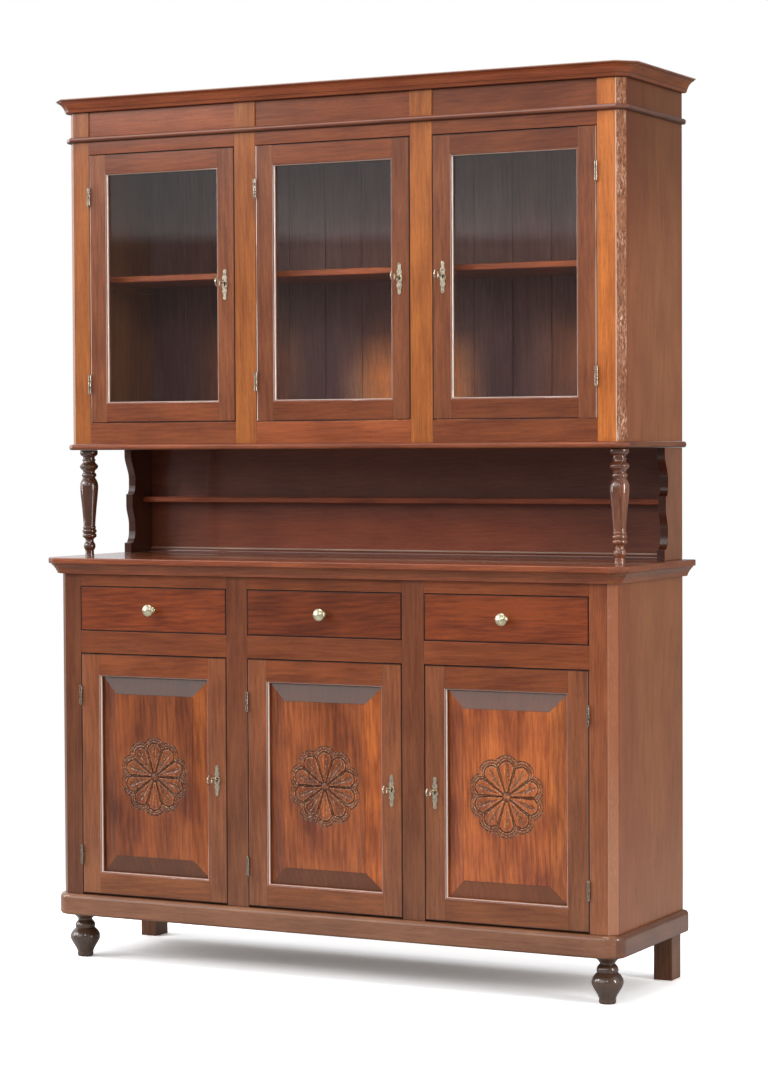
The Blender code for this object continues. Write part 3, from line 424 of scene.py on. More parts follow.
def mixed(kind, factor, first, second, way="MIX"):
    """Mix two numbers, vectors or colours by a factor."""
    start, result = {"FLOAT": (2, 0), "VECTOR": (4, 1), "RGBA": (6, 2)}[kind]
    node = add(tree_of(factor, first, second), "Mix", data_type=kind, blend_type=way)
    for entry, value in ((0, factor), (start, first), (start + 1, second)):
        feed(node, entry, value)
    return node.outputs[result]


def blend(factor, first, second):
    """Mix two colours by a factor."""
    return mixed("RGBA", factor, first, second)


def tinted(share, colour, tint):
    """Multiply a colour by a tint, where a share says how much."""
    return mixed("RGBA", share, colour, (*tint, 1), "MULTIPLY")


def bumped(height, strength, distance):
    """A bump node for a height."""
    return add(height.id_data, "Bump", Height=height, Strength=strength, Distance=distance)


def split_up(vector):
    """The X, Y and Z of a vector."""
    return in_order(add(vector.id_data, "SeparateXYZ"), vector).outputs[:]


# %% The grain group
grain = bpy.data.node_groups.new("stained_grain", "ShaderNodeTree")
for name, kind, way in (
    ("Vector", "Vector", "INPUT"), ("Light", "Color", "INPUT"), ("Dark", "Color", "INPUT"),
    ("Figure", "Float", "INPUT"), ("Streak", "Float", "INPUT"),
    ("Color", "Color", "OUTPUT"), ("Roughness", "Float", "OUTPUT"), ("Normal", "Vector", "OUTPUT"),
):
    grain.interface.new_socket(name, in_out=way, socket_type=f"NodeSocket{kind}")
given = grain.nodes.new("NodeGroupInput").outputs

drift = add(grain, "Mapping", Vector=given["Vector"], Scale=(5.0, 5.0, 1.3))
wander = add(grain, "TexNoise", Vector=drift.outputs[0], Scale=1.0, Detail=2.0)
place = vector_maths("MULTIPLY_ADD", wander.outputs["Color"], (0.030, 0.030, 0.0), given["Vector"]).outputs[0]
heart = add(grain, "Mapping", Vector=place, Rotation=(radians(2.6), radians(3.8), 0), Location=(0.010, 0.050, 0))
rings = add(
    grain, "TexWave", wave_type="RINGS", rings_direction="Z", wave_profile="SIN", Vector=heart.outputs[0],
    Scale=26.0, Distortion=3.4, Detail=3.0, Detail_Scale=0.8,
)

tone = ramp(stretched(place, 13.0, 2.2, 4.0, 0.55), 0.32, 0.68)
cloud = ramp(stretched(place, 17.0, 7.5), 0.34, 0.66)
band = ramp(stretched(place, 60.0, 3.4, 5.0, 0.62), 0.34, 0.66)
streak = ramp(stretched(place, 240.0, 8.0, 4.0, 0.65), 0.34, 0.66)
fleck = ramp(stretched(place, 620.0, 20.0), 0.52, 0.70)
pores = ramp(stretched(place, 1500.0, 60.0, 1.0), 0.56, 0.70)


def centred(value, strength):
    """A value from 0 to 1, moved to swing round nought."""
    return times(maths("SUBTRACT", value, 0.5), strength)


figure = times(centred(rings.outputs["Fac"], 1.0), given["Figure"])
bands = maths("ADD", maths("ADD", centred(tone, 0.42), centred(cloud, 0.50)), centred(band, 0.40))
lines = times(maths("ADD", bands, centred(streak, 0.58)), given["Streak"])
share = maths("ADD", maths("ADD", 0.55, figure), lines, clamp=True)
flecked = blend(times(fleck, 0.22), blend(share, given["Dark"], given["Light"]), (0.030, 0.007, 0.004, 1))
relief = maths("SUBTRACT", times(streak, 0.5), times(pores, 0.5))
put(
    grain.nodes.new("NodeGroupOutput"),
    Color=blend(times(pores, 0.30), flecked, (0.018, 0.005, 0.003, 1)),
    Roughness=maths("ADD", ramp(tone, 0.0, 1.0, 0.30, 0.40), times(pores, 0.12)),
    Normal=bumped(relief, 0.22, 0.5 * MM).outputs[0],
)
print("grain group nodes:", len(grain.nodes))

# %% [markdown]
# ## One material for each board
#
# A tone is written as it looks on screen, and the helper turns it into light. The dark tone of the same board
# follows from it. The grain runs along X in rails, along Z in stiles, and along Y in a few small pieces.

# %% Wood tones and the wood helper
def screen(red, green, blue):
    """A colour as it looks on screen, in 0 to 255, turned into linear light."""
    values = [value / 255 for value in (red, green, blue)]
    return [value / 12.92 if value <= 0.04045 else ((value + 0.055) / 1.055) ** 2.4 for value in values]


tones = {
    "rail": (130, 67, 34), "stile": (122, 67, 39), "door_stile": (130, 74, 44), "amber": (184, 106, 47),
    "panel": (148, 78, 36), "drawer": (132, 60, 24), "side": (136, 86, 54), "moulding": (124, 64, 36),
    "plinth": (123, 81, 55), "niche": (112, 60, 40), "shelf": (146, 74, 42), "inner": (122, 86, 78),
    "turned": (92, 54, 34), "foot": (82, 58, 42), "raw": (150, 112, 80),
}
grain_turns = {"Z": (0, 0, 0), "X": (0, radians(90), 0), "Y": (radians(90), 0, 0)}
wood_count = 0


def new_material(name):
    """An empty material."""
    material = bpy.data.materials.new(name)
    material.use_nodes = True
    return material


def parts_of(material):
    """A material's shader, the place of each point on the piece and the way it faces."""
    coordinates = add(material.node_tree, "TexCoord").outputs
    return material.node_tree.nodes["Principled BSDF"], coordinates["Object"], coordinates["Normal"]


def so_far(shader, entry="Base Color"):
    """What one of a shader's inputs is fed with so far."""
    return shader.inputs[entry].links[0].from_socket


def facing(way):
    """How far a surface faces along X, Y and Z, each from 0 to 1."""
    return [maths("ABSOLUTE", part) for part in split_up(way)]


def grain_place(place, axis, shift):
    """Places turned so that the grain runs along an axis, and moved to fresh wood."""
    fresh = (0.04 * sin(shift * 7), 0.02 * cos(shift * 5), shift * 1.7)
    return add(place.id_data, "Mapping", Vector=place, Rotation=grain_turns[axis], Location=fresh).outputs[0]


def wood(
    tone_name, axis="Z", lift=1.0, figure=0.25, streak=1.0, gloss=0.5, depth=0.50, rub_and_highlight=0.0, wrap=False, end_grain_and_reflection=0.0,
    polish=0.10, blotch=0.0, dust=0.0, coat_ior=1.5, cant_wear=None, lit_right_bevel=(1.18, 1.16, 1.05),
    side_shading_tint=(0.70, 0.84, 0.82), under_shading_tint=(0.62, 0.76, 0.84),
):
    """A new wood material in a tone, with its grain along an axis and its own stretch of plank."""
    global wood_count
    wood_count += 1
    light = [value * 1.42 * lift for value in screen(*tones[tone_name])]
    dark = [light[0] * depth, light[1] * depth * 0.86, light[2] * depth * 0.86]
    material = new_material(f"wood_{tone_name}_{wood_count}")
    shader, place, way = parts_of(material)
    vector, coat = grain_place(place, axis, wood_count * 0.618), gloss
    if wrap:
        at_side = ramp(maths("SUBTRACT", *facing(way)[:2]), -0.05, 0.05)
        vector = mixed("VECTOR", at_side, vector, grain_place(place, "Y", wood_count * 0.618 + 0.3))
    pattern = add(
        material.node_tree, "Group", node_tree=grain, Vector=vector, Light=(*light, 1), Dark=(*dark, 1),
        Figure=figure, Streak=streak,
    ).outputs
    colour, rough, normal = pattern["Color"], pattern["Roughness"], pattern["Normal"]
    if blotch:
        patches = ramp(stretched(vector, 11.0, 5.0, 3.0), 0.44, 0.62, 0.0, blotch)
        colour = tinted(patches, colour, (0.52, 0.44, 0.56))
    # Side faces and downward faces take their own tints: painted shade where a tint darkens, painted light where it
    # brightens.
    if wrap:
        down = times(split_up(way)[2], -1.0)
        colour = tinted(ramp(down, 0.25, 0.60), tinted(at_side, colour, side_shading_tint), under_shading_tint)
        coat = ramp(down, 0.15, 0.45, gloss, gloss * 0.25)
    if dust:
        colour = tinted(ramp(split_up(place)[2], 0.75, 0.15, 0.0, dust), colour, (0.90, 1.14, 1.28))
    # Top and bottom bevels are end grain, so plainer and darker, and tinted blue-grey as a painted reflection. Left
    # bevels get painted shade, right bevels painted light.
    if end_grain_and_reflection:
        x_way, _, z_way = split_up(way)
        plain = blend(0.65, colour, (*[value * 0.62 for value in light], 1))
        colour = blend(ramp(maths("ABSOLUTE", z_way), 0.10, 0.17), colour, plain)
        for share, tint in (
            (ramp(z_way, 0.10, 0.17), (end_grain_and_reflection * 0.72, end_grain_and_reflection * 0.78, end_grain_and_reflection * 1.05)),
            (ramp(z_way, -0.10, -0.17), (end_grain_and_reflection * 1.20, end_grain_and_reflection * 1.35, end_grain_and_reflection * 1.75)),
            (ramp(x_way, -0.08, -0.17), (0.78, 0.76, 0.80)),
            (ramp(x_way, 0.08, 0.17), lit_right_bevel),
        ):
            colour = tinted(share, colour, tint)
    # Pale arrises: partly rubbed wear, partly a painted highlight along the edges.
    if rub_and_highlight:
        across, out, upright = facing(way)
        flat = maths("MAXIMUM", across, maths("MAXIMUM", out, upright))
        colour = blend(times(ramp(flat, 0.985, 0.90), rub_and_highlight), colour, (0.74, 0.50, 0.36, 1))
    if cant_wear is not None:
        mask = ramp(split_up(place)[0], half_width - cant - 0.2 * MM, half_width - cant + 0.8 * MM)
        colour, rough, normal = worn_cant(place, mask, colour, rough, normal, cant_wear)
        coat = times(maths("SUBTRACT", 1.0, mask), gloss)
    put(
        shader, Base_Color=colour, Roughness=rough, Normal=normal, Specular_IOR_Level=0.25,
        Coat_Weight=coat, Coat_Roughness=polish, Coat_IOR=coat_ior,
    )
    return material


def worn_cant(place, mask, colour, rough, normal, wear):
    """The cut corner has its own tone, and where it is worn its stain is speckled with pale wear. A pale line along its
    inner arris is partly wear and partly a painted highlight.
    """
    across, _, level = split_up(place)
    own_tone = (0.20, 0.085, 0.050, 1)
    if wear <= 0.5:
        own_tone = blend(ramp(level, 0.62, 0.34), (0.36, 0.105, 0.040, 1), (0.43, 0.19, 0.105, 1))
    much = ramp(noise(place, 14.0, 2.0), 0.38, 0.60, 0.10, 1.0)
    drawn_out = add(place.id_data, "Mapping", Vector=place, Scale=(1.0, 1.0, 0.26)).outputs[0]
    speck = noise(drawn_out, 300.0, 5.0, 0.7, 0.6)
    pale = times(ramp(speck, 0.53, 0.63), mask, much)
    deep = times(ramp(speck, 0.49, 0.40), mask)
    corner = half_width - cant
    # The pale line along the arris is partly wear, partly painted highlight.
    arris = times(ramp(across, corner - 0.6 * MM, corner), ramp(across, corner + 1.6 * MM, corner + 1.0 * MM))
    colour = blend(times(mask, 0.62), colour, own_tone)
    colour = blend(times(pale, 0.90 * wear), colour, (0.86, 0.62, 0.48, 1))
    colour = blend(times(deep, 0.75 * wear), colour, (0.09, 0.034, 0.022, 1))
    colour = blend(times(arris, 0.8 * wear), colour, (0.86, 0.66, 0.54, 1))
    bump = put(bumped(times(speck, mask), 0.7 * wear, 1.2 * MM), Normal=normal)
    return colour, maths("ADD", rough, times(mask, 0.25)), bump.outputs[0]


# %% Wear, stain, and painted light and shade in places
def repainted(material, colour):
    """Give a material a new colour."""
    put(material.node_tree.nodes["Principled BSDF"], Base_Color=colour)
    return material


def off(value, middle):
    """How far a value is from a middle."""
    return maths("ABSOLUTE", maths("SUBTRACT", value, middle))


def side_with_top_shade(material, front_y, top_shade=0.0):
    """A side board that is redder near the front, and darker near the top with painted shade under the cornice."""
    shader, place, _ = parts_of(material)
    _, along, level = split_up(place)
    near = ramp(along, front_y + 0.20, front_y + 0.02)
    high = ramp(level, 1.62, 1.95, 0.0, top_shade)
    colour = tinted(times(near, 0.7), so_far(shader), (0.98, 0.78, 0.72))
    # Painted shade under the cornice.
    colour = tinted(high, colour, (0.60, 0.54, 0.41))
    return repainted(material, tinted(times(high, near), colour, (0.80, 0.68, 0.58)))


def shaded_inside(material, sign):
    """A bracket whose outer face matches the cabinet's side and whose edges and inner face are darkened with painted
    shade.
    """
    shader, _, way = parts_of(material)
    shaded_tone = tinted(1.0, so_far(shader), (0.25, 0.16, 0.15))
    outward = times(split_up(way)[0], sign)
    return repainted(material, blend(ramp(outward, 0.6, 0.9), shaded_tone, so_far(shader)))


def back_with_painted_light(material):
    """The back boards carry painted light and shade: low down an amber painted glow, with a patch of painted shade in
    each bay.

    Behind the middle of the hutch, they are strongly lightened with painted light."""
    shader, place, way = parts_of(material)
    across, _, level = split_up(place)
    front = ramp(split_up(way)[1], -0.2, -0.6)
    off_patch = maths("PINGPONG", maths("ADD", across, 0.185), pitch / 2)
    low_painted_zone = ramp(level, 1.60, 1.48)
    soft = ramp(stretched(place, 9.0, 6.0), 0.35, 0.60, 0.45, 1.0)
    # Amber painted glow low down, painted light behind the middle and painted shade in each bay.
    amber = times(ramp(off_patch, 0.07, 0.15), low_painted_zone, soft, front)
    painted_bright_middle = times(ramp(off(across, 0.035), 0.215, 0.12), ramp(level, 1.54, 1.43), front)
    dark = times(ramp(off_patch, 0.12, 0.03), times(low_painted_zone, front))
    colour = tinted(painted_bright_middle, tinted(amber, so_far(shader), (1.75, 1.26, 0.74)), (3.1, 2.9, 1.8))
    return repainted(material, tinted(dark, colour, (0.77, 0.75, 0.86)))


def glow_painted_low(material):
    """The back of the niche is lightened low down, in its middle: a painted warm glow."""
    shader, place, way = parts_of(material)
    across, _, level = split_up(place)
    front = ramp(split_up(way)[1], -0.2, -0.6)
    low_painted_zone = times(ramp(level, 1.13, 1.06), ramp(maths("ABSOLUTE", across), 0.66, 0.30), front)
    return repainted(material, tinted(low_painted_zone, so_far(shader), (1.60, 1.35, 1.15)))


def highlight_and_dust_above(material, level, share):
    """A painted highlight along the very top edge of a moulding, and dull dust on its level top."""
    shader, place, way = parts_of(material)
    z_way = split_up(way)[2]
    top = times(ramp(split_up(place)[2], level - 0.4 * MM, level + 0.2 * MM), ramp(z_way, 0.9, 0.7))
    # The pale top edge is a painted highlight.
    pale = blend(times(top, share), so_far(shader), (0.58, 0.46, 0.38, 1))
    upward = ramp(z_way, 0.80, 0.95)
    put(
        shader, Coat_Weight=times(so_far(shader, "Coat Weight"), maths("SUBTRACT", 1.0, upward)),
        Roughness=maths("ADD", so_far(shader, "Roughness"), times(upward, 0.35), clamp=True),
    )
    return repainted(material, tinted(upward, pale, (0.86, 0.90, 0.94)))


def highlighted_top_edge(material, level, share):
    """A small moulding whose top edge carries a painted highlight along its whole length, unevenly."""
    shader, place, _ = parts_of(material)
    top = ramp(split_up(place)[2], level - 2.6 * MM, level - 1.2 * MM)
    uneven = ramp(stretched(place, 5.0, 5.0), 0.35, 0.6, 0.5, 1.0)
    return repainted(material, blend(times(top, uneven, share), so_far(shader), (0.70, 0.55, 0.42, 1)))


def highlighted_hinge_edge(material, edge_x, share):
    """Along the hinges a painted highlight runs down the edge of a door, broken up more in some places than in others.
    """
    shader, place, _ = parts_of(material)
    painted_line = ramp(off(split_up(place)[0], edge_x), 2.8 * MM, 1.9 * MM)
    broken = ramp(stretched(place, 9.0, 9.0, 4.0), 0.36, 0.54, 0.30, 1.0)
    return repainted(material, blend(times(painted_line, broken, share), so_far(shader), (0.88, 0.78, 0.70, 1)))


def shaded_rim(material, low, high):
    """Painted shade on the edges of a door or drawer, next to the gap round it."""
    shader, place, _ = parts_of(material)
    colour, (across, _, level) = so_far(shader), split_up(place)
    for value, start, end in ((across, low[0], high[0]), (level, low[1], high[1])):
        reach = (end - start) / 2
        rim = ramp(off(value, (start + end) / 2), reach - 2.8 * MM, reach - 1.4 * MM)
        colour = tinted(rim, colour, (0.26, 0.24, 0.26))
    return repainted(material, colour)


def shaded_quirks(material, levels, half=0.8 * MM):
    """Painted shade in the inner corners of a moulding, as thin dark lines."""
    shader, place, _ = parts_of(material)
    colour = so_far(shader)
    for level in levels:
        painted_line = ramp(off(split_up(place)[2], level), half, half * 0.5, 0.0, 0.85)
        colour = tinted(painted_line, colour, (0.22, 0.18, 0.18))
    return repainted(material, colour)


def highlighted_quirk(material, front_y, share):
    """Painted highlights on the steep walls of an inner moulding, stronger on the upright members."""
    shader, place, way = parts_of(material)
    across, out, _ = facing(way)
    highlight_share = times(ramp(out, 0.88, 0.66), ramp(across, 0.2, 0.5, 0.62, 1.0))
    highlight_share = times(highlight_share, ramp(split_up(place)[1], front_y + 6.6 * MM, front_y + 5.8 * MM, 0.12, 1.0), share)
    return repainted(material, blend(highlight_share, so_far(shader), (0.92, 0.84, 0.76, 1)))


# %% [markdown]
# ## Finishes: brass, steel and glass
#
# The knobs are pale cast brass, and the plates and keys are the same metal with brown age mixed in by noise. The
# hinges are bronze with bright wear, and the bolts are steel. Noise in the roughness and in the tone keeps the
# metal from looking new.

# %% Metal and glass
def metal(name, bright, aged, roughness, wear, scale):
    """Worn metal: two tones mixed by noise, with uneven roughness."""
    material = new_material(name)
    shader, place, _ = parts_of(material)
    patches = noise(place, scale, 5.0)
    spread = ramp(patches, 0.28, 0.80 - 0.3 * wear)
    put(
        shader, Metallic=1.0, Base_Color=blend(spread, (*screen(*aged), 1), (*screen(*bright), 1)),
        Roughness=ramp(patches, 0.3, 0.7, roughness + 0.16, roughness),
        Normal=bumped(patches, 0.25, 0.3 * MM).outputs[0],
    )
    return material


knob_brass = metal("knob_brass", (236, 230, 204), (196, 184, 146), 0.24, 0.2, 120.0)
plate_brass = metal("plate_brass", (246, 234, 208), (98, 80, 60), 0.22, 0.5, 260.0)
hinge_bronze = metal("hinge_bronze", (190, 176, 160), (66, 52, 45), 0.20, 0.5, 320.0)
lock_steel = metal("lock_steel", (172, 166, 154), (116, 104, 90), 0.42, 0.5, 240.0)


def mixed_shaders(factor, first, second):
    """Two shaders mixed by a factor."""
    return in_order(add(factor.id_data, "MixShader"), factor, first, second).outputs[0]


def pane_material():
    """Clear window glass with a trace of dust. Rays from lamps pass it, so that the shelves behind are lit."""
    material = new_material("window_glass")
    shader, place, _ = parts_of(material)
    dust = ramp(noise(place, 6.0, 4.0), 0.35, 0.7, 0.0, 0.035)
    put(shader, Roughness=dust, Base_Color=(0.93, 0.95, 0.94, 1), Transmission_Weight=1.0, IOR=1.45)
    tree = material.node_tree
    clear = add(tree, "BsdfTransparent", Color=(0.88, 0.90, 0.89, 1)).outputs[0]
    from_lamp = add(tree, "LightPath").outputs["Is Shadow Ray"]
    put(tree.nodes["Material Output"], Surface=mixed_shaders(from_lamp, shader.outputs[0], clear))
    return material


window_glass = pane_material()

# %% [markdown]
# ## Handing a piece over
#
# Each piece gets its finish, rides on a body of the frame so that doors and drawers carry it along, and may
# stand for one of the frame's solids, which then hides.

# %% Fit helper
made = []


def fit(piece, material, body="cabinet", stands_for=()):
    """Give a piece its finish, its body and the solids it stands for."""
    piece.data.materials.clear()
    piece.data.materials.append(material)
    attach(piece, body)
    if stands_for:
        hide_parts(*stands_for)
    made.append(piece.name)
    return piece


def dress(node, material):
    """Give one of the frame's own solids a better finish."""
    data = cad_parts[node].data
    data.materials.clear()
    data.materials.append(material)


# %% [markdown]
# ## Camera
#
# The photograph was taken with a long lens from the right of the cabinet, a little above the middle of its
# height. The camera's place and turn were found by fitting the corners of the cabinet to the picture.

# %% Camera
camera_data = bpy.data.cameras.new("camera")
camera = bpy.data.objects.new("camera", camera_data)
bpy.context.scene.collection.objects.link(camera)
bpy.context.scene.camera = camera
right = Vector((0.88990, 0.45613, -0.00485))
up = Vector((-0.01048, 0.03107, 0.99946))
toward_viewer = Vector((0.45604, -0.88937, 0.03243))
turn = Matrix((right, up, toward_viewer)).transposed().to_4x4()
camera.matrix_world = Matrix.Translation((3.1640, -6.2697 + back_y, 1.2593)) @ turn
focal_pixels, picture_height, sensor = 2843.6, 1076, 36
camera_data.lens, camera_data.sensor_width = focal_pixels * sensor / picture_height, sensor
camera_data.clip_start, camera_data.clip_end = 0.1, 100
print("lens:", round(camera_data.lens, 2))

# %% [markdown]
# ## Plinth and feet
#
# The plinth is a frame of boards with a rounded upper edge and rounded front corners. Underneath it is
# hollow: the bottom face is inset by the board's thickness and pushed up. The front feet are turned, with a
# neck, a collar and a bulb that narrows to a small pad.

# %% Plinth
plinth_profile = scaled(
    [(8, 0), (12, 1.5), (14, 6), (14, 6), (14, 41), (14, 41), (12.6, 46.5), (8.5, 50.8), (3, 52)], plinth_bottom,
)
plinth = moulded("plinth", base_front, plinth_profile, lambda widest: 30 * MM + widest, 10)
pick_faces(plinth, lambda c, n: n.z < -0.9 and c.z < plinth_bottom + 1e-5)
inset(20 * MM)
extrude((0, 0, 49 * MM))
done(plinth, "plinth")
# The plinth's sides are darkened and greyed: painted shade.
finish = wood("plinth", "X", 1.12, 0.15, 0.9, 0.8, 0.6, wrap=True, polish=0.06, side_shading_tint=(0.62, 0.52, 0.44))
fit(plinth, finish, stands_for=["plinth_frame"])
print("plinth faces:", len(plinth.data.polygons))

# %% Turned feet
foot_points = [
    (0, 109.2), (30, 109.2), (30, 109.2), (28.5, 105), (22, 98.5), (17.8, 93), (17.6, 90), (17.6, 90), (20.5, 87),
    (23.6, 82.5), (24.8, 78), (24.4, 73.5), (23.2, 71.3), (23.2, 71.3), (27, 67.6), (32.2, 62), (35.6, 55.5),
    (36.5, 49.5), (35.6, 43), (32.4, 36), (28, 29), (24.2, 22.5), (21.6, 17.5), (20.4, 14.6), (20.4, 14.6),
    (19.5, 12.6), (19.2, 9.5), (19.6, 5), (19, 2.2), (17, 0), (17, 0), (0, 0),
]
foot_profile = scaled(foot_points)


def foot_of(node):
    """The point on the floor under a node's middle."""
    node_low, node_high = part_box(node)
    return Vector(((node_low[0] + node_high[0]) / 2, (node_low[1] + node_high[1]) / 2, 0.0))


first_foot = turned("turned_foot_left", foot_profile, foot_of("foot_front_left"))
second_foot = copied(first_foot, "turned_foot_right", foot_of("foot_front_right") - foot_of("foot_front_left"))
for side, foot in (("left", first_foot), ("right", second_foot)):
    finish = wood("foot", "Z", 0.9, 0.15, 0.8, 1.0, polish=0.06, coat_ior=1.6)
    fit(foot, finish, stands_for=[f"foot_front_{side}"])
    dress(f"leg_rear_{side}", wood("plinth", "Z", 0.80, 0.2, 1.0, 0.2))
print("foot height:", round(foot_profile[0][1], 4))

# %% [markdown]
# ## Base carcass
#
# The face frame is built as a joiner builds it: corner stiles with a canted outer edge, two muntins, and
# rails between them. Separate boards give each joint its fine line and let the grain turn at every joint.
# The muntins also get the small sockets that the lock bolts enter.

# %% Frame member helpers
def hand(side):
    """Which side something is on: 1 for right, -1 for left."""
    return 1 if side == "right" else -1


def corner_stile(name, side, front_y, low, high):
    """A corner stile whose outer edge is cut at 45 degrees."""
    sign = hand(side)
    inner, outer = sign * (half_width - cant - stile), sign * half_width
    piece = block((inner, front_y, low), (outer, front_y + board, high))
    pick_edges(piece, lambda a, b: abs(a.z - b.z) > 1e-6 and a.y < front_y + 1e-6 and a.x * sign > half_width - 1e-6)
    bpy.ops.mesh.bevel(offset=cant, segments=1, affect="EDGES")
    leave()
    soften(piece, easing)
    return done(piece, name)


def bolt_socket(edge, throw, lock_z, front_y):
    """The corners of the socket in a muntin's edge that a lock bolt slides into."""
    low = (edge - throw * 4 * MM, front_y + 5.4 * MM, lock_z + 3.4 * MM)
    return low, (edge + throw * 7.2 * MM, front_y + 12.6 * MM, lock_z + 15.6 * MM)


def two_muntins(prefix, front_y, low, high, lock_z):
    """The uprights between the bays. The right one takes a bolt from both sides."""
    half = (pitch - opening) / 2
    middle = -pitch / 2
    first = block((middle - half, front_y, low), (middle + half, front_y + board, high))
    soften(first, easing)
    carve(first, block(*bolt_socket(middle - half, 1, lock_z, front_y)))
    done(first, f"{prefix}_muntin_left")
    second = copied(first, f"{prefix}_muntin_right", (pitch, 0, 0))
    carve(second, block(*bolt_socket(pitch / 2 + half, -1, lock_z, front_y)))
    return done(first, first.name), done(second, second.name)


def placed(first, name, shift):
    """A piece itself where it was made, or else its copy moved by a shift."""
    return copied(first, name, shift) if Vector(shift).length > 1e-6 else first


def in_bay(first, name, side):
    """A left piece itself, or its copy in another bay."""
    return placed(first, f"{name}_{side}", (bays[side] + pitch, 0, 0))


def three_rails(name, front_y, low, high, rear_y):
    """One rail for each bay: the left one is made and then copied."""
    left_end, right_end = (bays["left"] + sign * (opening / 2 - 0.15 * MM) for sign in (-1, 1))
    first = plank(f"{name}_left", (left_end, front_y, low), (right_end, rear_y, high))
    return {side: in_bay(first, name, side) for side in bays}


base_lock_z = sum(base_door) / 2 + keyhole_rise
hutch_lock_z = sum(hutch_door) / 2 + keyhole_rise

def face_frame(prefix, front_y, low, high, lock_z, stiles, muntins, rails, worn):
    """The face frame of a unit, whose right corner is worn.

    Stiles and muntins are the tones of two uprights and the other settings of their wood. Each rail is a name,
    its bottom and top, how far it is sunk and its tones in the three bays."""
    for side, lift in zip(("left", "right"), stiles[0]):
        piece = corner_stile(f"{prefix}_stile_{side}", side, front_y, low, high)
        wear, stands = (worn, []) if side == "right" else (None, [f"{prefix}_face_frame"])
        finish = wood(lift=lift, gloss=0.4, rub_and_highlight=0.15, cant_wear=wear, **stiles[1])
        fit(piece, finish, stands_for=stands)
    for piece, lift in zip(two_muntins(prefix, front_y, low, high, lock_z), muntins[0]):
        fit(piece, wood(lift=lift, gloss=0.4, rub_and_highlight=0.15, **muntins[1]))
    for name, bottom, top, sunk, lifts in rails:
        for (side, piece), lift in zip(three_rails(name, front_y + sunk, bottom, top, front_y + board).items(), lifts):
            fit(piece, wood("rail", "X", lift, 0.15, 1.0, 0.4, 0.56, rub_and_highlight=0.15))
    print("pieces so far:", len(made))


# %% Base face frame
low, high = plinth_top + seam, worktop_bottom - seam
rail_gap = 2 * MM
upright_wood = {"tone_name": "stile", "figure": 0.1, "depth": 0.56, "dust": 0.8}
base_rails = (
    ("mid_rail", base_door[1] + rail_gap, drawer_opening[0], 0.0, (0.92, 0.82, 1.06)),
    ("top_rail", drawer_opening[1], high, 0.0, (0.92, 0.82, 1.06)),
)
face_frame(
    "base", base_front, low, high, base_lock_z, ((0.78, 1.40), upright_wood), ((0.90, 0.90), upright_wood),
    base_rails, 0.12,
)

# %% Base sides, back, bottom, shelf and deck
for side in ("left", "right"):
    dress(f"base_side_{side}", side_with_top_shade(wood("side", "Z", 0.98, 0.1, 0.8, 0.25, 0.70), base_front))
for node, lift in (("base_back", 0.8), ("base_bottom", 0.85), ("base_shelf", 0.9), ("drawer_deck", 0.8)):
    dress(node, wood("raw", "X", lift, 0.3, 1.0, 0.0))

# %% Worktop
worktop_profile = scaled(
    [(0, 0), (12, 0), (12, 0), (13.2, 3), (15.5, 8), (19, 13.5), (24, 19.5), (27, 22.4), (27, 22.4), (27, 24.3),
     (27, 24.3), (31, 24.3), (31, 24.3), (32.4, 25.1), (33, 26.8), (33, 26.8), (33, 36), (33, 36), (32.3, 38.2),
     (30, 39)],
    worktop_bottom,
)
top_board = moulded("worktop_board", base_front, worktop_profile, canted)
# The worktop's sides and underside are darkened: painted shade.
finish = wood(
    "moulding", "X", 1.34, 0.2, 1.0, 0.72, 0.55, wrap=True, polish=0.06,
    side_shading_tint=(0.85, 0.95, 0.80), under_shading_tint=(0.70, 0.78, 0.76),
)
fit(top_board, finish, stands_for=["worktop"])
print("worktop faces:", len(top_board.data.polygons))

# %% [markdown]
# ## Niche
#
# Two turned columns carry the front of the hutch and two scroll-cut brackets its back. A back panel with a
# small moulding along its foot closes the niche, and a narrow shelf runs between the brackets.

# %% Columns
column_points = [
    (0, 262.4), (19.5, 262.4), (19.5, 262.4), (21.6, 260.5), (22, 256.5), (21, 251.5), (18, 248.2), (15, 246.2),
    (14.5, 244), (14.4, 240.5), (14.4, 240.5), (16.4, 239.4), (16.6, 237), (14.8, 235.4), (14.8, 235.4), (16, 231.5),
    (20, 227.5), (22.4, 224), (22.5, 221), (20.8, 217.2), (17, 213.6), (14.8, 210.5), (14.4, 206.8), (14.4, 206.8),
    (17, 204.6), (18.2, 201), (17.8, 198), (15.6, 195.8), (15.2, 194), (15.2, 194), (18.8, 188), (21.8, 180),
    (22.5, 170), (21.6, 156), (19.8, 138), (17.8, 118), (16, 98), (14.8, 82), (14.5, 74), (14.5, 74), (15.8, 72.5),
    (15.4, 67.5), (14.8, 66.5), (14.8, 66.5), (17.2, 64.6), (17.4, 60), (15.4, 57), (14.4, 56), (14.4, 56), (17, 53.4),
    (17.2, 48.5), (14.5, 45.2), (11, 42.6), (10, 38.6), (10.6, 35), (10.6, 35), (13.2, 31), (14.6, 25.5), (13.8, 20),
    (11.4, 15.6), (10.6, 13.4), (10.8, 6), (11.4, 0), (11.4, 0), (0, 0),
]
column_profile = scaled(column_points)
column_base = foot_of("column_left") + Vector((0, 0, worktop_top + seam))
first_column = turned("turned_column_left", column_profile, column_base, steps=64)
second_column = copied(first_column, "turned_column_right", foot_of("column_right") - foot_of("column_left"))
for side, column in (("left", first_column), ("right", second_column)):
    lift, streak, depth = (0.75, 0.8, 0.5) if side == "left" else (2.2, 1.3, 0.34)
    finish = wood("turned", "Z", lift, 0.15, streak, 1.0, depth, polish=0.05, coat_ior=1.65)
    fit(column, finish, stands_for=[f"column_{side}"])
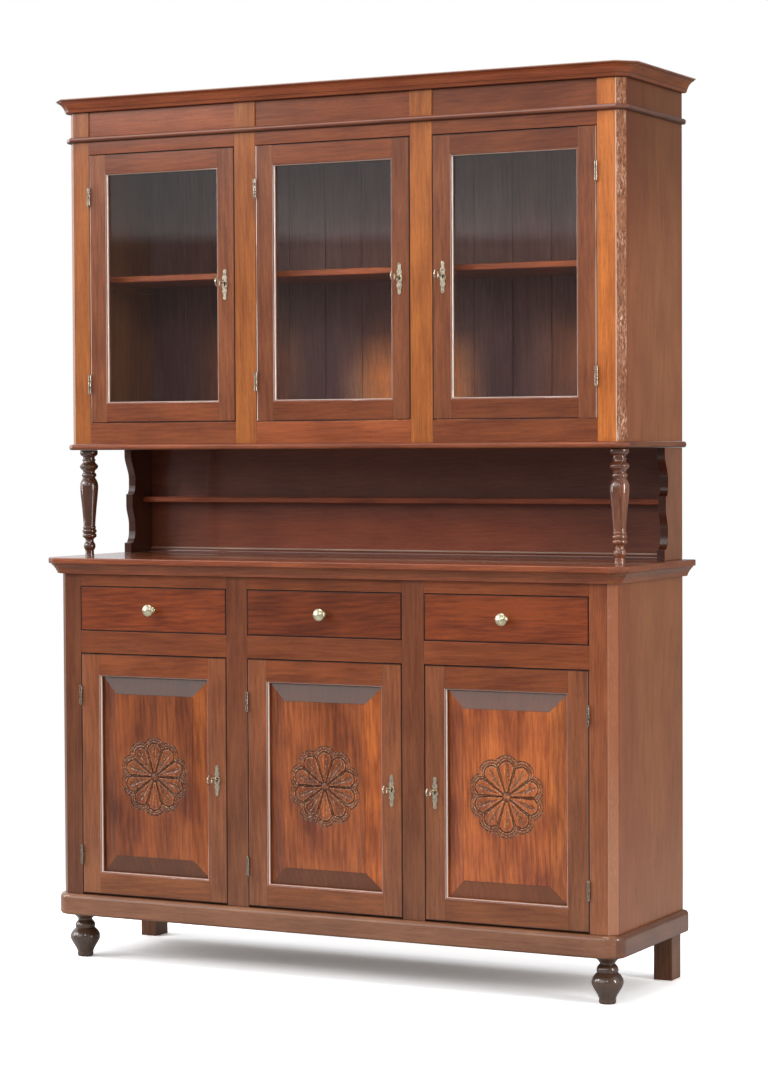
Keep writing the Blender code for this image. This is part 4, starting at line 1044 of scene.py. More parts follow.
print("column points:", len(column_profile))

# %% Scroll brackets
def sweep(start, end, steps=14):
    """An S-shaped run from one point to another, leaving and arriving upright."""
    (x, z), (end_x, end_z) = start, end
    shares = [step / steps for step in range(1, steps + 1)]
    return [(x + (end_x - x) * (1 - cos(pi * share)) / 2, z + (end_z - z) * share) for share in shares]


def hollow(start, end, steps=10):
    """A quarter hollow that leaves upright and arrives level."""
    (x, z), (end_x, end_z) = start, end
    angles = [pi / 2 * step / steps for step in range(1, steps + 1)]
    return [(x + (end_x - x) * (1 - cos(angle)), z + (end_z - z) * sin(angle)) for angle in angles]


def at_bracket(depth, level):
    """A place on a bracket's outline, in metres."""
    return back_y - depth * MM, level * MM


scroll = [at_bracket(0, 1251.7), at_bracket(111, 1251.7), at_bracket(111, 1240)]
scroll += sweep(scroll[-1], at_bracket(90.5, 1176)) + [at_bracket(90.5, 1163)]
scroll += hollow(scroll[-1], at_bracket(100, 1139)) + [at_bracket(104, 1139), at_bracket(104, 1111)]
scroll += sweep(scroll[-1], at_bracket(92, 1061)) + [at_bracket(92, 1048)]
scroll += hollow(scroll[-1], at_bracket(107, 1015))
scroll += [at_bracket(113, 1015), at_bracket(113, 989.3), at_bracket(0, 989.3)]
first_bracket = sawn("scroll_bracket_left", scroll, "X", -half_width, -half_width + side_board, easing)
second_bracket = copied(first_bracket, "scroll_bracket_right", (2 * half_width - side_board, 0, 0))
for side, bracket in (("left", first_bracket), ("right", second_bracket)):
    finish = shaded_inside(wood("side", "Z", 0.86, 0.1, 0.8, 0.6, 0.66, polish=0.06), hand(side))
    fit(bracket, finish, stands_for=[f"bracket_{side}"])
back_low, back_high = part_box("niche_back")
panel_front = back_high[1] - 12 * MM
niche_panel = plank("niche_panel", (back_low[0], panel_front, back_low[2]), back_high, 0.5 * MM, 1)
finish = glow_painted_low(wood("niche", "X", 0.95, 0.12, 0.7, 0.7, 0.62))
fit(niche_panel, finish, stands_for=["niche_back"])
foot_moulding = [
    (0, 0), (10, 0), (10, 2.2), (9.2, 2.8), (8.6, 5), (7.2, 8), (5.2, 10.4), (3.4, 11.6), (3.2, 12.4), (0, 13),
]
outline = [(panel_front + 0.2 * MM - depth * MM, back_low[2] + level * MM) for depth, level in foot_moulding]
strip = sawn("niche_foot_moulding", outline, "X", back_low[0] + seam, back_high[0] - seam)
finish = highlighted_top_edge(wood("niche", "X", 0.9, 0.1, 0.7, 1.0, 0.6, polish=0.05), back_low[2] + 11 * MM, 0.55)
fit(strip, finish)
dress("niche_shelf", wood("shelf", "X", 1.0, 0.2, 1.0, 0.6))
print("scroll points:", len(scroll))

# %% [markdown]
# ## Hutch carcass
#
# The hutch repeats the face frame of the base. Its head is a frieze of three boards, sunk a little between the
# ends of the uprights, with a half-round bead below it and the cornice above it.

# %% Hutch bottom board, cornice and bead
bullnose = scaled(
    [(4.5, 0), (8, 1.2), (9.8, 4), (10, 6), (10, 6), (10, 8), (10, 8), (9.8, 10), (8, 12.8), (4.5, 14)], hutch_bottom,
)
hutch_board = moulded("hutch_bottom_board", hutch_front, bullnose, canted)
finish = wood("moulding", "X", 1.3, 0.1, 1.0, 0.6, wrap=True)
fit(hutch_board, finish, stands_for=["hutch_bottom"])

cornice_profile = scaled(
    [(2, 0), (9.5, 0), (9.5, 0), (11, 1.4), (12.8, 4), (13.4, 6.5), (15, 10.5), (18.2, 16.5), (22.8, 22), (27.5, 25.4),
     (31, 26.8), (31, 26.8), (31.6, 28.6), (33.6, 29.4), (35, 29.8), (35, 29.8), (35, 32)],
    cornice_bottom,
)
crown = moulded("cornice_board", hutch_front, cornice_profile, canted)
# The cornice's underside is lightened: painted light.
finish = wood("moulding", "X", 1.15, 0.1, 0.9, 0.7, 0.6, wrap=True, under_shading_tint=(1.30, 1.22, 1.05))
finish = shaded_quirks(finish, [cornice_bottom + level * MM for level in (0.4, 8.6, 26.9)])
fit(crown, highlight_and_dust_above(finish, cornice_bottom + 30.2 * MM, 0.6), stands_for=["cornice"])

bead_profile = scaled([(6, 0), (8.6, 1.4), (10, 4.6), (10, 8.4), (8.6, 11.6), (6, 13)], bead_bottom)
bead = moulded("bead", hutch_front, bead_profile, canted)
core = moulded("core", hutch_front, [(0.2 * MM, bead_bottom - 4 * MM), (0.2 * MM, bead_top + 4 * MM)], canted)
pick_faces(core, lambda c, n: n.y > 0.9)
bpy.ops.transform.translate(value=(0, 20 * MM, 0))
leave()
carve(bead, core)
done(bead, "bead")
# The bead's underside is darkened: painted shade.
finish = wood(
    "moulding", "X", 0.90, 0.1, 0.9, 1.0, 0.6, wrap=True, polish=0.05, coat_ior=1.6, under_shading_tint=(0.34, 0.34, 0.38),
)
fit(bead, finish, stands_for=["bead_moulding"])
print("cornice faces:", len(crown.data.polygons), "bead faces:", len(bead.data.polygons))

# %% Hutch face frame
low, high = hutch_floor + seam, cornice_bottom - seam
hutch_rails = (
    ("bottom_rail", low, hutch_door[0] - rail_gap, 0.0, (0.96, 1.42, 0.92)),
    ("head_rail", hutch_door[1] + rail_gap, bead_bottom + 6 * MM, 0.0, (1.12, 1.04, 0.92)),
    # The left frieze is lighter: partly its own tone, partly a painted reflection of the window at the front left.
    ("frieze", bead_top - 6 * MM, high, 3 * MM, (1.40, 1.04, 0.92)),
)
stile_wood = {"tone_name": "amber", "figure": 0.12, "streak": 0.9, "depth": 0.60}
muntin_wood = {"tone_name": "amber", "figure": 0.12, "depth": 0.56}
face_frame(
    "hutch", hutch_front, low, high, hutch_lock_z, ((0.70, 1.12), stile_wood), ((0.70, 0.78), muntin_wood),
    hutch_rails, 1.0,
)

# %% Hutch sides, back and shelf
for side in ("left", "right"):
    dress(f"hutch_side_{side}", side_with_top_shade(wood("side", "Z", 1.04, 0.1, 0.8, 0.25, 0.70), hutch_front, 1.0))
dress("hutch_back", back_with_painted_light(wood("inner", "Z", 1.0, 0.15, 0.8, 0.2, 0.66)))
dress("hutch_shelf", wood("shelf", "X", 1.15, 0.2, 1.0, 0.4))
print("pieces so far:", len(made))

# %% [markdown]
# ## Drawers
#
# Each drawer front is one board with grain along its length and a cast brass knob: a rose, a short neck and
# a mushroom cap that ends in a low cone.

# %% Drawer fronts and knobs
knob_points = [
    (0, 32), (1.2, 31.8), (5, 30), (10, 27.4), (13.4, 25), (14.6, 23.2), (14.4, 21.6), (12.6, 19.8), (8.6, 17.8),
    (5.4, 15.6), (4.1, 12.6), (3.9, 8.6), (4.6, 5.6), (5.6, 4.4), (5.6, 4.4), (7.2, 3.6), (7.8, 1.8), (7.8, 0.3),
    (7.8, 0.3), (0, 0.3),
]
knob_profile = scaled(knob_points)
drawer_lifts = {"left": 1.02, "middle": 0.72, "right": 0.98}
first_front = plank("drawer_board_left", *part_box("drawer_front_left"), 1.4 * MM, 3)
first_knob = turned("knob_left", knob_profile, (bays["left"], base_front, sum(drawer_opening) / 2), "Y", 48)
for side in bays:
    front, knob = in_bay(first_front, "drawer_board", side), in_bay(first_knob, "knob", side)
    figured = wood("drawer", "X", drawer_lifts[side], 0.3, 1.1, 0.5, 0.48, rub_and_highlight=0.1)
    (left, _, low), (right_end, _, high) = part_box(f"drawer_front_{side}")
    figured = shaded_rim(figured, (left, low), (right_end, high))
    fit(front, figured, f"drawer_{side}", [f"drawer_front_{side}"])
    fit(knob, knob_brass, f"drawer_{side}", [f"drawer_knob_{side}"])
    dress(f"drawer_box_{side}", wood("raw", "X", 0.95, 0.3, 1.0, 0.0))
print("knob points:", len(knob_profile))

# %% [markdown]
# ## Doors
#
# A door is two stiles and two rails, with a small moulding mitred round the inside. The lock stile is cut out
# for its lock: a keyhole, a round room where the key's bit turns, and a slot for the bolt. The left door is
# made first. The other two are its copies, except for the right door's lock stile, which is cut the other way.

# %% Lock and hinge places
def lock_x(side):
    """Where a door's key turns, from the front."""
    return bays[side] - hand(side) * (opening / 2 - door_gap - lock_distance)


def disc(x, z, radius, steps=24):
    """A circle as an outline."""
    angles = [2 * pi * step / steps for step in range(steps)]
    return [(x + radius * cos(angle), z + radius * sin(angle)) for angle in angles]


def keyhole(x, z, radius, half_slot, drop):
    """A round hole over a slot."""
    start = asin(half_slot / radius)
    angles = [-pi / 2 + start + (2 * pi - 2 * start) * step / 14 for step in range(15)]
    curve = [(x + radius * cos(angle), z + radius * sin(angle)) for angle in angles]
    return curve + [(x - half_slot, z - drop), (x + half_slot, z - drop)]


def door_stile(edge, front_y, door_range, width):
    """A stile from the door's outer edge inwards, with that edge more rounded."""
    piece = block((edge, front_y, door_range[0]), (edge + width, front_y + board, door_range[1]))
    ease(piece, edge, 1.9 * MM)
    soften(piece, 0.5 * MM)
    return piece


def lock_stile(name, side, front_y, door_range, width, lock_z):
    """The door stile with the keyhole, the room for the key's bit and the bolt's slot."""
    throw = -hand(side)
    x = lock_x(side)
    edge = x + throw * lock_distance
    piece = door_stile(edge, front_y, door_range, -throw * width)
    hole = keyhole(x, lock_z, 3.1 * MM, 1.9 * MM, 8.2 * MM)
    carve(piece, sawn("tool", hole, "Y", front_y - 2 * MM, front_y + 9 * MM))
    carve(piece, sawn("tool", disc(x, lock_z, 7.9 * MM), "Y", front_y + 5.6 * MM, front_y + 12.4 * MM))
    slot_low = (x - throw * 15.5 * MM, front_y + 6.0 * MM, lock_z + 4.0 * MM)
    carve(piece, block(slot_low, (edge + throw * 4 * MM, front_y + 12.0 * MM, lock_z + 15.0 * MM)))
    return done(piece, name)


# %% Inner moulding
def moulded_ring(name, low_corner, high_corner, front_y, steps, depth):
    """A picture-frame moulding: (inward, sink) steps from the front face, then a straight inner wall."""
    (left, bottom), (right_end, top) = low_corner, high_corner
    piece = block((left, front_y, bottom), (right_end, front_y + depth, top))
    before = (0.0, 0.0)
    for inward, sink in steps:
        level = front_y + before[1]
        pick_faces(
            piece,
            lambda c, n: n.y < -0.9 and abs(c.y - level) < 1e-6 and abs(c.x - (left + right_end) / 2) < 1e-4
            and abs(c.z - (bottom + top) / 2) < 1e-4,
        )
        inset(inward - before[0], before[1] - sink)
        before = (inward, sink)
    leave()
    inner_low = (left + before[0], front_y - 5 * MM, bottom + before[0])
    inner_high = (right_end - before[0], front_y + depth + 5 * MM, top - before[0])
    carve(piece, block(inner_low, inner_high))
    return done(piece, name, 40)


# %% Door frames
ovolo_points = [(0.7, 0.0), (0.9, 1.2), (1.5, 1.4), (2.5, 1.8), (3.5, 2.7), (4.3, 4.0), (4.8, 5.6)]
ovolo = [(inward * MM, sink * MM) for inward, sink in ovolo_points]
door_lifts = {
    ("base", "left"): 1.08, ("base", "middle"): 1.10, ("base", "right"): 0.98,
    ("hutch", "left"): 1.04, ("hutch", "middle"): 0.94, ("hutch", "right"): 0.98,
}


def mirrored(model, name):
    """A copy of a left piece, mirrored to the right of the cabinet's middle."""
    piece = copied(model, name, (0, 0, 0))
    edit(piece)
    bpy.ops.mesh.select_all(action="SELECT")
    bpy.ops.transform.resize(value=(-1, 1, 1), center_override=(0, 0, 0))
    face_out()
    return done(piece, name)


# How strong the painted highlight along each door's hinge edge is.
edge_highlight = {
    ("base", "left"): 0.25, ("base", "middle"): 0.35, ("base", "right"): 0.25,
    ("hutch", "left"): 0.65, ("hutch", "middle"): 1.0, ("hutch", "right"): 0.45,
}


def door_finish(prefix, side, part, front_y):
    """The wood of one part of a door."""
    lift = door_lifts[prefix, side]
    if part.startswith("rail"):
        share = 0.76 if (prefix, side) == ("hutch", "right") else 0.93
        return wood("rail", "X", lift * share, 0.2, 1.0, 0.45, 0.54, rub_and_highlight=0.12, dust=1.0)
    if part == "moulding":
        return highlighted_quirk(wood("rail", "Z", lift, 0.1, 0.8, 1.0, 0.6, polish=0.05), front_y, 0.8)
    finish = wood("door_stile", "Z", lift, 0.15, 1.0, 0.45, 0.54, rub_and_highlight=0.15, dust=0.6)
    if part == "hinge_stile":
        edge_x = bays[side] + hand(side) * (opening / 2 - door_gap)
        finish = highlighted_hinge_edge(finish, edge_x, edge_highlight[prefix, side])
    return finish


def three_doors(prefix, front_y, door_range, member, lock_z):
    """Stiles, rails and inner moulding of the three doors of a unit, riding on their bodies."""
    left, right_end = bays["left"] - opening / 2 + door_gap, bays["left"] + opening / 2 - door_gap
    low, high = door_range
    plain = member - moulding_width
    names = f"{prefix}_door"
    inner_left, inner_right = left + plain + 0.12 * MM, right_end - plain - 0.12 * MM
    rail_high = (inner_right, front_y + board, low + plain)
    models = {
        "hinge_stile": done(door_stile(left, front_y, door_range, plain), f"{names}_hinge_stile_left"),
        "lock_stile": lock_stile(f"{names}_lock_stile_left", "left", front_y, door_range, plain, lock_z),
        "rail_lower": plank(f"{names}_rail_lower_left", (inner_left, front_y, low), rail_high, 0.6 * MM),
    }
    models["rail_upper"] = copied(models["rail_lower"], f"{names}_rail_upper_left", (0, 0, high - low - plain))
    models["moulding"] = moulded_ring(
        f"{names}_moulding_left", (inner_left, low + plain + 0.05 * MM), (inner_right, high - plain - 0.05 * MM),
        front_y, ovolo, 10 * MM,
    )
    for side in bays:
        shift = bays[side] + pitch
        stands = [f"{prefix}_door_frame_{side}"]
        for part, model in models.items():
            if side == "right" and part == "lock_stile":
                piece = lock_stile(f"{names}_lock_stile_right", side, front_y, door_range, plain, lock_z)
            elif side == "right" and part == "hinge_stile":
                piece = mirrored(model, f"{names}_hinge_stile_right")
            else:
                piece = in_bay(model, f"{names}_{part}", side)
            finish = door_finish(prefix, side, part, front_y)
            if part != "moulding" and (prefix, part) != ("hutch", "hinge_stile"):
                finish = shaded_rim(finish, (left + shift, low), (right_end + shift, high))
            fit(piece, finish, f"{prefix}_door_{side}", stands)
            stands = []
        print(prefix, side, "door: stile", round(plain, 4), "height", round(high - low, 4))


three_doors("base", base_front, base_door, 55 * MM, base_lock_z)
three_doors("hutch", hutch_front, hutch_door, 50 * MM, hutch_lock_z)
for side in bays:
    dress(f"hutch_door_glass_{side}", window_glass)

# %% [markdown]
# ## Carved panels
#
# Each base door holds a raised panel: a flat field with a bevel round it, carved with a rosette of ten
# petals inside a scalloped double rim. The bevel is one inset. For the carving, four bisects mark out the
# middle of the field, that square is subdivided finely, and each point sinks as the chisel would have gone:
# a groove round every petal, a gouge along its middle, and two grooves that follow the scallops.

# %% Rosette relief
petals = 10
rosette_size = 1.12
petal_slope = radians(16.2)
cap_centre = 57.0
cap_radius = cap_centre * sin(petal_slope) * 1.02


def groove(distance, half, deep):
    """A V-shaped cut of a half width and a depth, at a distance from its middle line."""
    return -deep * np.clip(1 - np.abs(distance) / half, 0, 1) ** 0.9


def rosette_height(across, up):
    """Height of the carving over the field, in millimetres, at places given in millimetres."""
    radius = np.hypot(across, up)
    across, up, radius = across / rosette_size, up / rosette_size, radius / rosette_size
    width = 2 * pi / petals
    local = (np.arctan2(across, up) + width / 2) % width - width / 2
    side_way, out_way = radius * np.sin(local), radius * np.cos(local)
    wedge = (out_way * tan(petal_slope) - np.abs(side_way)) * cos(petal_slope)
    cap = cap_radius - np.hypot(side_way, out_way - cap_centre)
    inside = np.where(out_way < cap_centre + cap_radius * 0.28, np.minimum(wedge, out_way - 9.0), cap)
    height = groove(inside, 1.6, 2.1)
    height += np.where(inside > 0, -0.9 * np.exp(-np.clip(inside, 0, None) / 2.6), 0)
    vein_half = np.interp(out_way, [20, 30, 52, 62, 68], [0.2, 2.0, 5.2, 4.8, 0.2])
    vein = np.clip(1 - np.abs(side_way) / np.maximum(vein_half, 0.2), 0, 1)
    height += np.where((out_way > 20) & (out_way < 68), -1.4 * np.sin(vein * pi / 2), 0)
    outside, rim = -inside, radius > 50
    height += np.where(rim, groove(outside - 5.0, 1.6, 1.8) + groove(outside - 11.0, 1.6, 1.7), 0)
    notches = 0.5 + 0.5 * np.cos(np.arctan2(side_way, out_way - cap_centre) * 17)
    band = np.clip(1 - np.abs(outside - 8.0) / 2.2, 0, 1)
    height += np.where(rim, band * (0.55 - 0.85 * notches), 0)
    height += np.where(rim & (outside > 0) & (outside < 4), -0.5, 0)
    button = np.sqrt(np.clip(1 - (radius / 6.0) ** 2, 0, 1)) * 1.5
    height = np.where(radius < 6.0, button - 0.6, height)
    return height + groove(radius - 7.4, 1.6, 1.6)


# %% The carved panel
def carved_panel(name, node):
    """A raised and fielded panel with a rosette carved into its field."""
    low_corner, high_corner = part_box(node)
    tongue_front = base_front + 12.5 * MM
    piece = block((low_corner[0], tongue_front, low_corner[2]), high_corner)
    pick_faces(piece, lambda c, n: n.y < -0.9)
    for thickness, depth in ((8.0, 0.0), (41.2, 8.0), (0.5, 1.5)):
        inset(thickness * MM, depth * MM)
    field = tongue_front - 9.5 * MM
    middle = ((low_corner[0] + high_corner[0]) / 2, (low_corner[2] + high_corner[2]) / 2)
    reach = 102 * MM
    for side_x in (-reach, reach):
        pick_faces(piece, lambda c, n: n.y < -0.9 and abs(c.y - field) < 1e-6)
        bpy.ops.mesh.bisect(plane_co=(middle[0] + side_x, field, 0), plane_no=(1, 0, 0))
    for side_z in (-reach, reach):
        pick_faces(piece, lambda c, n: n.y < -0.9 and abs(c.y - field) < 1e-6 and abs(c.x - middle[0]) < 1e-3)
        bpy.ops.mesh.bisect(plane_co=(0, field, middle[1] + side_z), plane_no=(0, 0, 1))
    centre = Vector((middle[0], field, middle[1]))
    pick_faces(piece, lambda c, n: abs(c.y - field) < 1e-6 and (c - centre).length < 1e-3)
    bpy.ops.mesh.subdivide(number_cuts=15)
    bpy.ops.mesh.subdivide(number_cuts=14)
    leave()
    points = np.empty(len(piece.data.vertices) * 3)
    piece.data.vertices.foreach_get("co", points)
    points = points.reshape(-1, 3)
    across, up_way = (points[:, 0] - middle[0]) / MM, (points[:, 2] - middle[1]) / MM
    on_field = (np.abs(points[:, 1] - field) < 1e-6) & (np.hypot(across, up_way) < 100)
    height = rosette_height(across, up_way)
    height += 0.12 * np.sin(across * 1.9 + 3 * np.sin(up_way * 0.7)) * np.cos(up_way * 2.3) * (height < -0.2)
    points[:, 1] = np.where(on_field, points[:, 1] - height * MM, points[:, 1])
    piece.data.vertices.foreach_set("co", points.ravel())
    piece.data.update()
    stain = piece.data.attributes.new("stain", "FLOAT", "POINT")
    stain.data.foreach_set("value", np.where(on_field, np.clip(-height / 1.6, 0, 1), 0).astype(np.float32))
    return done(piece, name, 9)


# %% [markdown]
# The stain and the dirt of years gather in the cuts, so the carving is darker than the field round it. The
# depth of each cut is kept with the mesh as an attribute, and the panel's wood is darkened by it.

# %% Panels in their doors
def stained_cuts(material):
    """Darken a wood material where the carving is deep, and chip the rims of the cuts."""
    shader, place, _ = parts_of(material)
    depth = add(material.node_tree, "Attribute", attribute_name="stain").outputs["Fac"]
    put(shader, Coat_Weight=ramp(depth, 0.0, 0.4, 0.7, 0.12))
    colour = blend(times(ramp(depth, 0.15, 1.0), 0.30), so_far(shader), (0.075, 0.026, 0.014, 1))
    rims = times(ramp(depth, 0.05, 0.3), ramp(depth, 0.9, 0.5))
    chipped = times(rims, ramp(noise(place, 320.0, 3.0), 0.50, 0.60), 0.75)
    return repainted(material, blend(chipped, colour, (0.62, 0.38, 0.24, 1)))


first_panel = carved_panel("carved_panel_left", "base_door_panel_left")
# Each panel's right bevel is lightened by its own tint: painted light.
for side, lift, lit_bevel_tint in (
    ("left", 0.92, (1.3, 1.3, 1.1)), ("middle", 1.08, (1.55, 1.55, 1.3)), ("right", 1.5, (1.35, 1.6, 1.6)),
):
    panel = in_bay(first_panel, "carved_panel", side)
    finish = wood("panel", "Z", lift, 0.26, 1.2, 0.7, 0.46, end_grain_and_reflection=0.42, blotch=0.8, lit_right_bevel=lit_bevel_tint)
    fit(panel, stained_cuts(finish), f"base_door_{side}", [f"base_door_panel_{side}"])
print("panel faces:", len(first_panel.data.polygons))

# %% [markdown]
# ## Hinges, plates and keys
#
# Each door hangs on two small butt hinges. Three knuckles show: the outer two belong to the frame and the
# middle one to the door. The brass plate is sawn to a long shape with a lozenge in the middle, and the key
# has a turned stem, a flat bit and a ring bow. Each is made once, at the left base door, and copied.

# %% Hinges
knuckle_radius, knuckle_length, knuckle_gap, half_hinge = 3.8 * MM, 14.6 * MM, 0.4 * MM, 22.5 * MM
hinge_from_bottom, hinge_from_top, hinge_out = 94 * MM, 101 * MM, 4.2 * MM


def knuckle(name, x, y, low, high, tip=0):
    """One hinge knuckle with eased ends, and a small turned tip above (1) or below (-1)."""
    r, length = knuckle_radius, high - low
    profile = [(0, length), (r - 0.5 * MM, length), (r, length - 0.5 * MM), (r, 0.5 * MM), (r - 0.5 * MM, 0), (0, 0)]
    if tip:
        end = [(1.6 * MM, 0), (1.9 * MM, 1.2 * MM), (1.3 * MM, 2.0 * MM), (0, 2.4 * MM)]
        if tip > 0:
            profile = [(a, length + b) for a, b in reversed(end)] + profile[1:]
        else:
            profile = profile[:-1] + [(a, -b) for a, b in end]
    return turned(name, profile, (x, y, low), steps=28)


def join(pieces, name):
    """Join several pieces into one."""
    bpy.ops.object.select_all(action="DESELECT")
    for piece in pieces:
        piece.select_set(True)
    bpy.context.view_layer.objects.active = pieces[0]
    bpy.ops.object.join()
    return done(bpy.context.object, name)


def hinge_leaf(x, y, low, high):
    """The thin leaf of a hinge, in the gap between door and frame."""
    return plank("leaf", (x - 0.55 * MM, y, low), (x + 0.55 * MM, y + 10 * MM, high), 0.2 * MM, 1)


def hinge_place(prefix, side, upper):
    """The axis of a hinge at the middle of its height."""
    front_y, door_range = (base_front, base_door) if prefix == "base" else (hutch_front, hutch_door)
    x = bays[side] + hand(side) * (opening / 2 - door_gap / 2)
    level = door_range[1] - hinge_from_top if upper else door_range[0] + hinge_from_bottom
    return Vector((x, front_y - hinge_out, level))


x, y, level = hinge_place("base", "left", False)
half = knuckle_length / 2
fixed = [
    knuckle("lower", x, y, level - half_hinge, level - half - knuckle_gap, -1),
    knuckle("upper", x, y, level + half + knuckle_gap, level + half_hinge, 1),
    hinge_leaf(x, y, level - 22 * MM, level - 8 * MM), hinge_leaf(x, y, level + 8 * MM, level + 22 * MM),
]
first_fixed = join(fixed, "base_hinge_fixed_left_lower")
moving = [knuckle("middle", x, y, level - half, level + half), hinge_leaf(x, y, level - 7 * MM, level + 7 * MM)]
first_moving = join(moving, "base_hinge_moving_left_lower")
first_place = Vector((x, y, level))
for prefix in ("base", "hutch"):
    for side in bays:
        for upper in (False, True):
            shift = hinge_place(prefix, side, upper) - first_place
            tail = f"{side}_{'upper' if upper else 'lower'}"
            fixed = placed(first_fixed, f"{prefix}_hinge_fixed_{tail}", shift)
            moving = placed(first_moving, f"{prefix}_hinge_moving_{tail}", shift)
            fit(fixed, hinge_bronze)
            fit(moving, hinge_bronze, f"{prefix}_door_{side}")
print("pieces so far:", len(made))

# %% Escutcheon plates and keys
plate_thickness = 1.6 * MM
plate_quarter = [
    (8.5, 0), (7.6, 3.2), (6.2, 6.4), (5.4, 9.5), (5.2, 10.6), (6.4, 13.2), (6.8, 16.2), (6.2, 18.6), (4.9, 20.4),
    (4.3, 22.4), (4.2, 29.5), (4.6, 31.6), (4.1, 34), (2.8, 36), (1.2, 36.9),
]
key_stem = [
    (0, 24.4), (1.7, 24.4), (1.7, 24.4), (1.8, 20), (2.2, 14), (2.3, 11), (3.0, 10.4), (3.6, 9.4), (3.6, 8.0),
    (2.9, 7.0), (2.9, 7.0), (2.3, 6.6), (2.2, 6.4), (2.2, 6.4), (2.2, -12.8), (2.0, -13.2), (0, -13.2),
]


def lock_place(prefix, side):
    """The point on the door's face where the key goes in."""
    front_y, lock_z = (base_front, base_lock_z) if prefix == "base" else (hutch_front, hutch_lock_z)
    return Vector((lock_x(side), front_y, lock_z))


def escutcheon(name, place_co):
    """A sawn brass plate with its keyhole."""
    x, front_y, z = place_co
    upper_half = plate_quarter + [(-u, v) for u, v in reversed(plate_quarter)]
    outline = upper_half + [(-u, -v) for u, v in upper_half[1:-1]]
    shape = [(x + u * MM, z + (v - 5) * MM) for u, v in outline]
    piece = sawn(name, shape, "Y", front_y - plate_thickness, front_y + 0.05 * MM, 0.45 * MM)
    hole = keyhole(x, z, 3.0 * MM, 1.8 * MM, 8.0 * MM)
    carve(piece, sawn("tool", hole, "Y", front_y - 4 * MM, front_y + 4 * MM))
    return done(piece, name)


def key(name, place_co):
    """A key: turned stem, ring bow and flat bit."""
    x, front_y, z = place_co
    face = front_y - plate_thickness
    bow_centre = (x, face - 33.0 * MM, z)
    stem = turned("stem", [(radius * MM, height * MM) for radius, height in key_stem], (x, face, z), "Y", 24)
    bpy.ops.object.select_all(action="DESELECT")
    bpy.ops.mesh.primitive_torus_add(
        major_radius=10.5 * MM, minor_radius=1.7 * MM, major_segments=40, minor_segments=12,
        location=bow_centre, rotation=(0, pi / 2, 0),
    )
    bow = bpy.context.object
    bpy.ops.object.transform_apply(location=True, rotation=True, scale=True)
    bpy.ops.object.mode_set(mode="EDIT")
    bpy.ops.mesh.select_all(action="SELECT")
    bpy.ops.transform.resize(value=(1.15, 0.98, 1.0), center_override=bow_centre)
    leave()
    bit_low, bit_high = (x - 1.2 * MM, front_y + 7.5 * MM, z - 7 * MM), (x + 1.2 * MM, front_y + 10.5 * MM, z)
    bit = plank("bit", bit_low, bit_high, 0.3 * MM)
    return join([stem, bow, bit], name)


first_lock = lock_place("base", "left")
first_plate = escutcheon("base_escutcheon_left", first_lock)
first_key = key("base_brass_key_left", first_lock)
for prefix in ("base", "hutch"):
    for side in bays:
        shift = lock_place(prefix, side) - first_lock
        plate = placed(first_plate, f"{prefix}_escutcheon_{side}", shift)
        brass_key = placed(first_key, f"{prefix}_brass_key_{side}", shift)
        fit(plate, plate_brass, f"{prefix}_door_{side}")
        fit(brass_key, plate_brass, f"{prefix}_key_{side}", [f"{prefix}_key_{side}"])
        dress(f"{prefix}_lock_bolt_{side}", lock_steel)
print("pieces:", len(made))

# %% [markdown]
# ## Floor, light and background
#
# The photograph has a white ground. The camera's own rays, and those that have only passed the glass, see the
# floor's paint brighter than other rays do, so that only the cabinet's shadow shows, and further out they see
# plain white. The world is a soft room: dim near the floor, brighter above, with one broad window of light at
# the front left, which the glass and the tops of the bevels mirror. Two tall strips of light stand at the
# sides, one hangs over the front, one is behind, and two small ones in front draw the edges.

# %% Floor
def straight_ray(tree):
    """One for the camera's own rays and for those that have only passed glass, nought for all others."""
    rays = add(tree, "LightPath").outputs
    bounces = maths("ADD", rays["Diffuse Depth"], rays["Glossy Depth"])
    through_glass = times(rays["Is Transmission Ray"], maths("LESS_THAN", bounces, 0.5))
    return maths("MAXIMUM", rays["Is Camera Ray"], through_glass)


bpy.ops.object.select_all(action="DESELECT")
bpy.ops.mesh.primitive_plane_add(size=60, location=(0, 0, 0))
floor = bpy.context.object
floor.name = "floor"
floor_paint = new_material("pale_floor")
tree = floor_paint.node_tree
tree.nodes.clear()
from_middle = vector_maths("LENGTH", add(tree, "TexCoord").outputs["Object"]).outputs["Value"]
seen = straight_ray(tree)
paint = add(tree, "BsdfDiffuse", Color=mixed("FLOAT", seen, ramp(from_middle, 1.2, 3.5, 0.60, 0.30), 2.0)).outputs[0]
glow = add(tree, "Emission", Color=(1, 1, 1, 1)).outputs[0]
add(tree, "OutputMaterial", Surface=mixed_shaders(times(ramp(from_middle, 0.9, 1.7), seen), paint, glow))
floor.data.materials.append(floor_paint)

# %% World
world = bpy.data.worlds.new("studio")
bpy.context.scene.world = world
world.use_nodes = True
tree = world.node_tree
tree.nodes.clear()
direction = add(tree, "TexCoord").outputs["Generated"]
rise = split_up(direction)[2]


def toward(azimuth):
    """How closely a direction, seen level, points to an azimuth that is counted from -Y towards +X."""
    unit = vector_maths("NORMALIZE", vector_maths("MULTIPLY", direction, (1, 1, 0)).outputs[0])
    return vector_maths("DOT_PRODUCT", unit.outputs[0], (sine(azimuth), -cosine(azimuth), 0)).outputs["Value"]


def sine(degrees):
    """The sine of an angle in degrees."""
    return sin(radians(degrees))


def cosine(degrees):
    """The cosine of an angle in degrees."""
    return cos(radians(degrees))


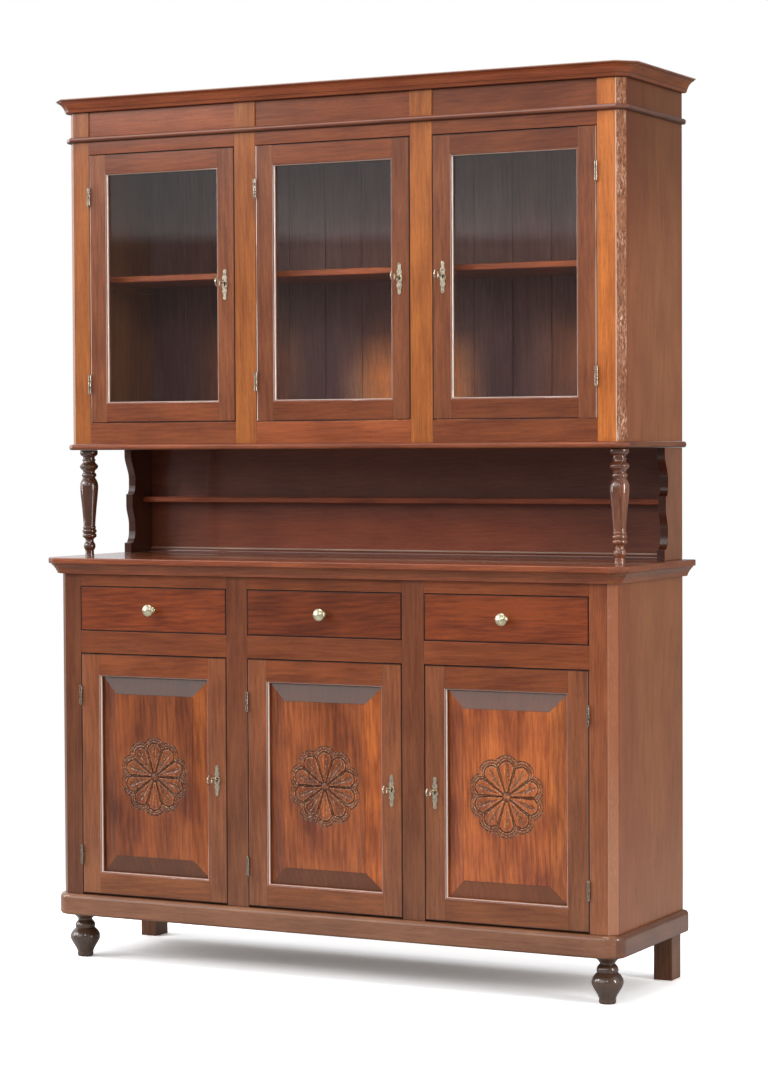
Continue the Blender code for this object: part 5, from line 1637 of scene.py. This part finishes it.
def window(azimuth, sill, head, jambs):
    """A window with soft edges, each given as two angles in degrees."""
    upright = times(ramp(rise, sine(sill[0]), sine(sill[1])), ramp(rise, sine(head[0]), sine(head[1])))
    return times(upright, ramp(toward(azimuth), cosine(jambs[0]), cosine(jambs[1])))


front_sky = ramp(rise, sine(4.05), sine(4.3), 0.16, 0.82)
front_sky = maths("MINIMUM", front_sky, ramp(rise, sine(8), sine(14), 0.82, 0.34))
left_wall = ramp(toward(-100), cosine(60), cosine(40), 0.22, 1.1)
walls = maths("MAXIMUM", left_wall, ramp(toward(95), cosine(40), cosine(20), 0.22, 0.8))
total = mixed("FLOAT", ramp(toward(0), cosine(75), cosine(50)), walls, front_sky)
for share, strength in (
    (window(-32, (9, 14), (42, 34), (38, 28)), 2.1),
    (window(-35, (5.9, 6.4), (9.5, 8.5), (6.0, 4.5)), 2.9),
):
    total = maths("ADD", total, times(share, strength))
room = add(tree, "Background", Color=(0.98, 0.99, 1.0, 1), Strength=total).outputs[0]
white = add(tree, "Background", Color=(1, 1, 1, 1)).outputs[0]
add(tree, "OutputWorld", Surface=mixed_shaders(straight_ray(tree), room, white))

# %% Lamps
def softbox(name, place_co, target, width, height, radiance, colour=(1, 1, 1)):
    """A rectangular soft light that faces a target, with its brightness given as seen from the cabinet."""
    data = bpy.data.lights.new(name, "AREA")
    data.shape = "RECTANGLE"
    data.size, data.size_y = width, height
    data.energy = radiance * pi * width * height
    data.color = colour
    lamp = bpy.data.objects.new(name, data)
    bpy.context.scene.collection.objects.link(lamp)
    lamp.location = place_co
    lamp.rotation_euler = (Vector(target) - Vector(place_co)).to_track_quat("-Z", "Y").to_euler()


softbox("right_strip", (5.4, -0.8, 1.8), (0.5, 0, 1.0), 0.6, 2.8, 20.0, (1.0, 0.98, 0.95))
softbox("left_strip", (-5.0, -1.6, 1.8), (-0.5, 0, 1.0), 0.4, 2.6, 16.0)
softbox("overhead", (0.2, -1.4, 5.2), (0, 0, 1.0), 2.4, 1.6, 5.0)
softbox("behind", (-1.2, 3.4, 4.6), (0, 0.2, 1.0), 2.6, 1.8, 3.0)
softbox("small_left", (-4.2, -3.4, 3.4), (0, 0, 1.0), 0.5, 0.9, 34.0)
softbox("small_right", (2.4, -5.2, 3.6), (0, 0, 1.0), 0.5, 0.7, 30.0)
bpy.context.scene.view_settings.view_transform = "Standard"
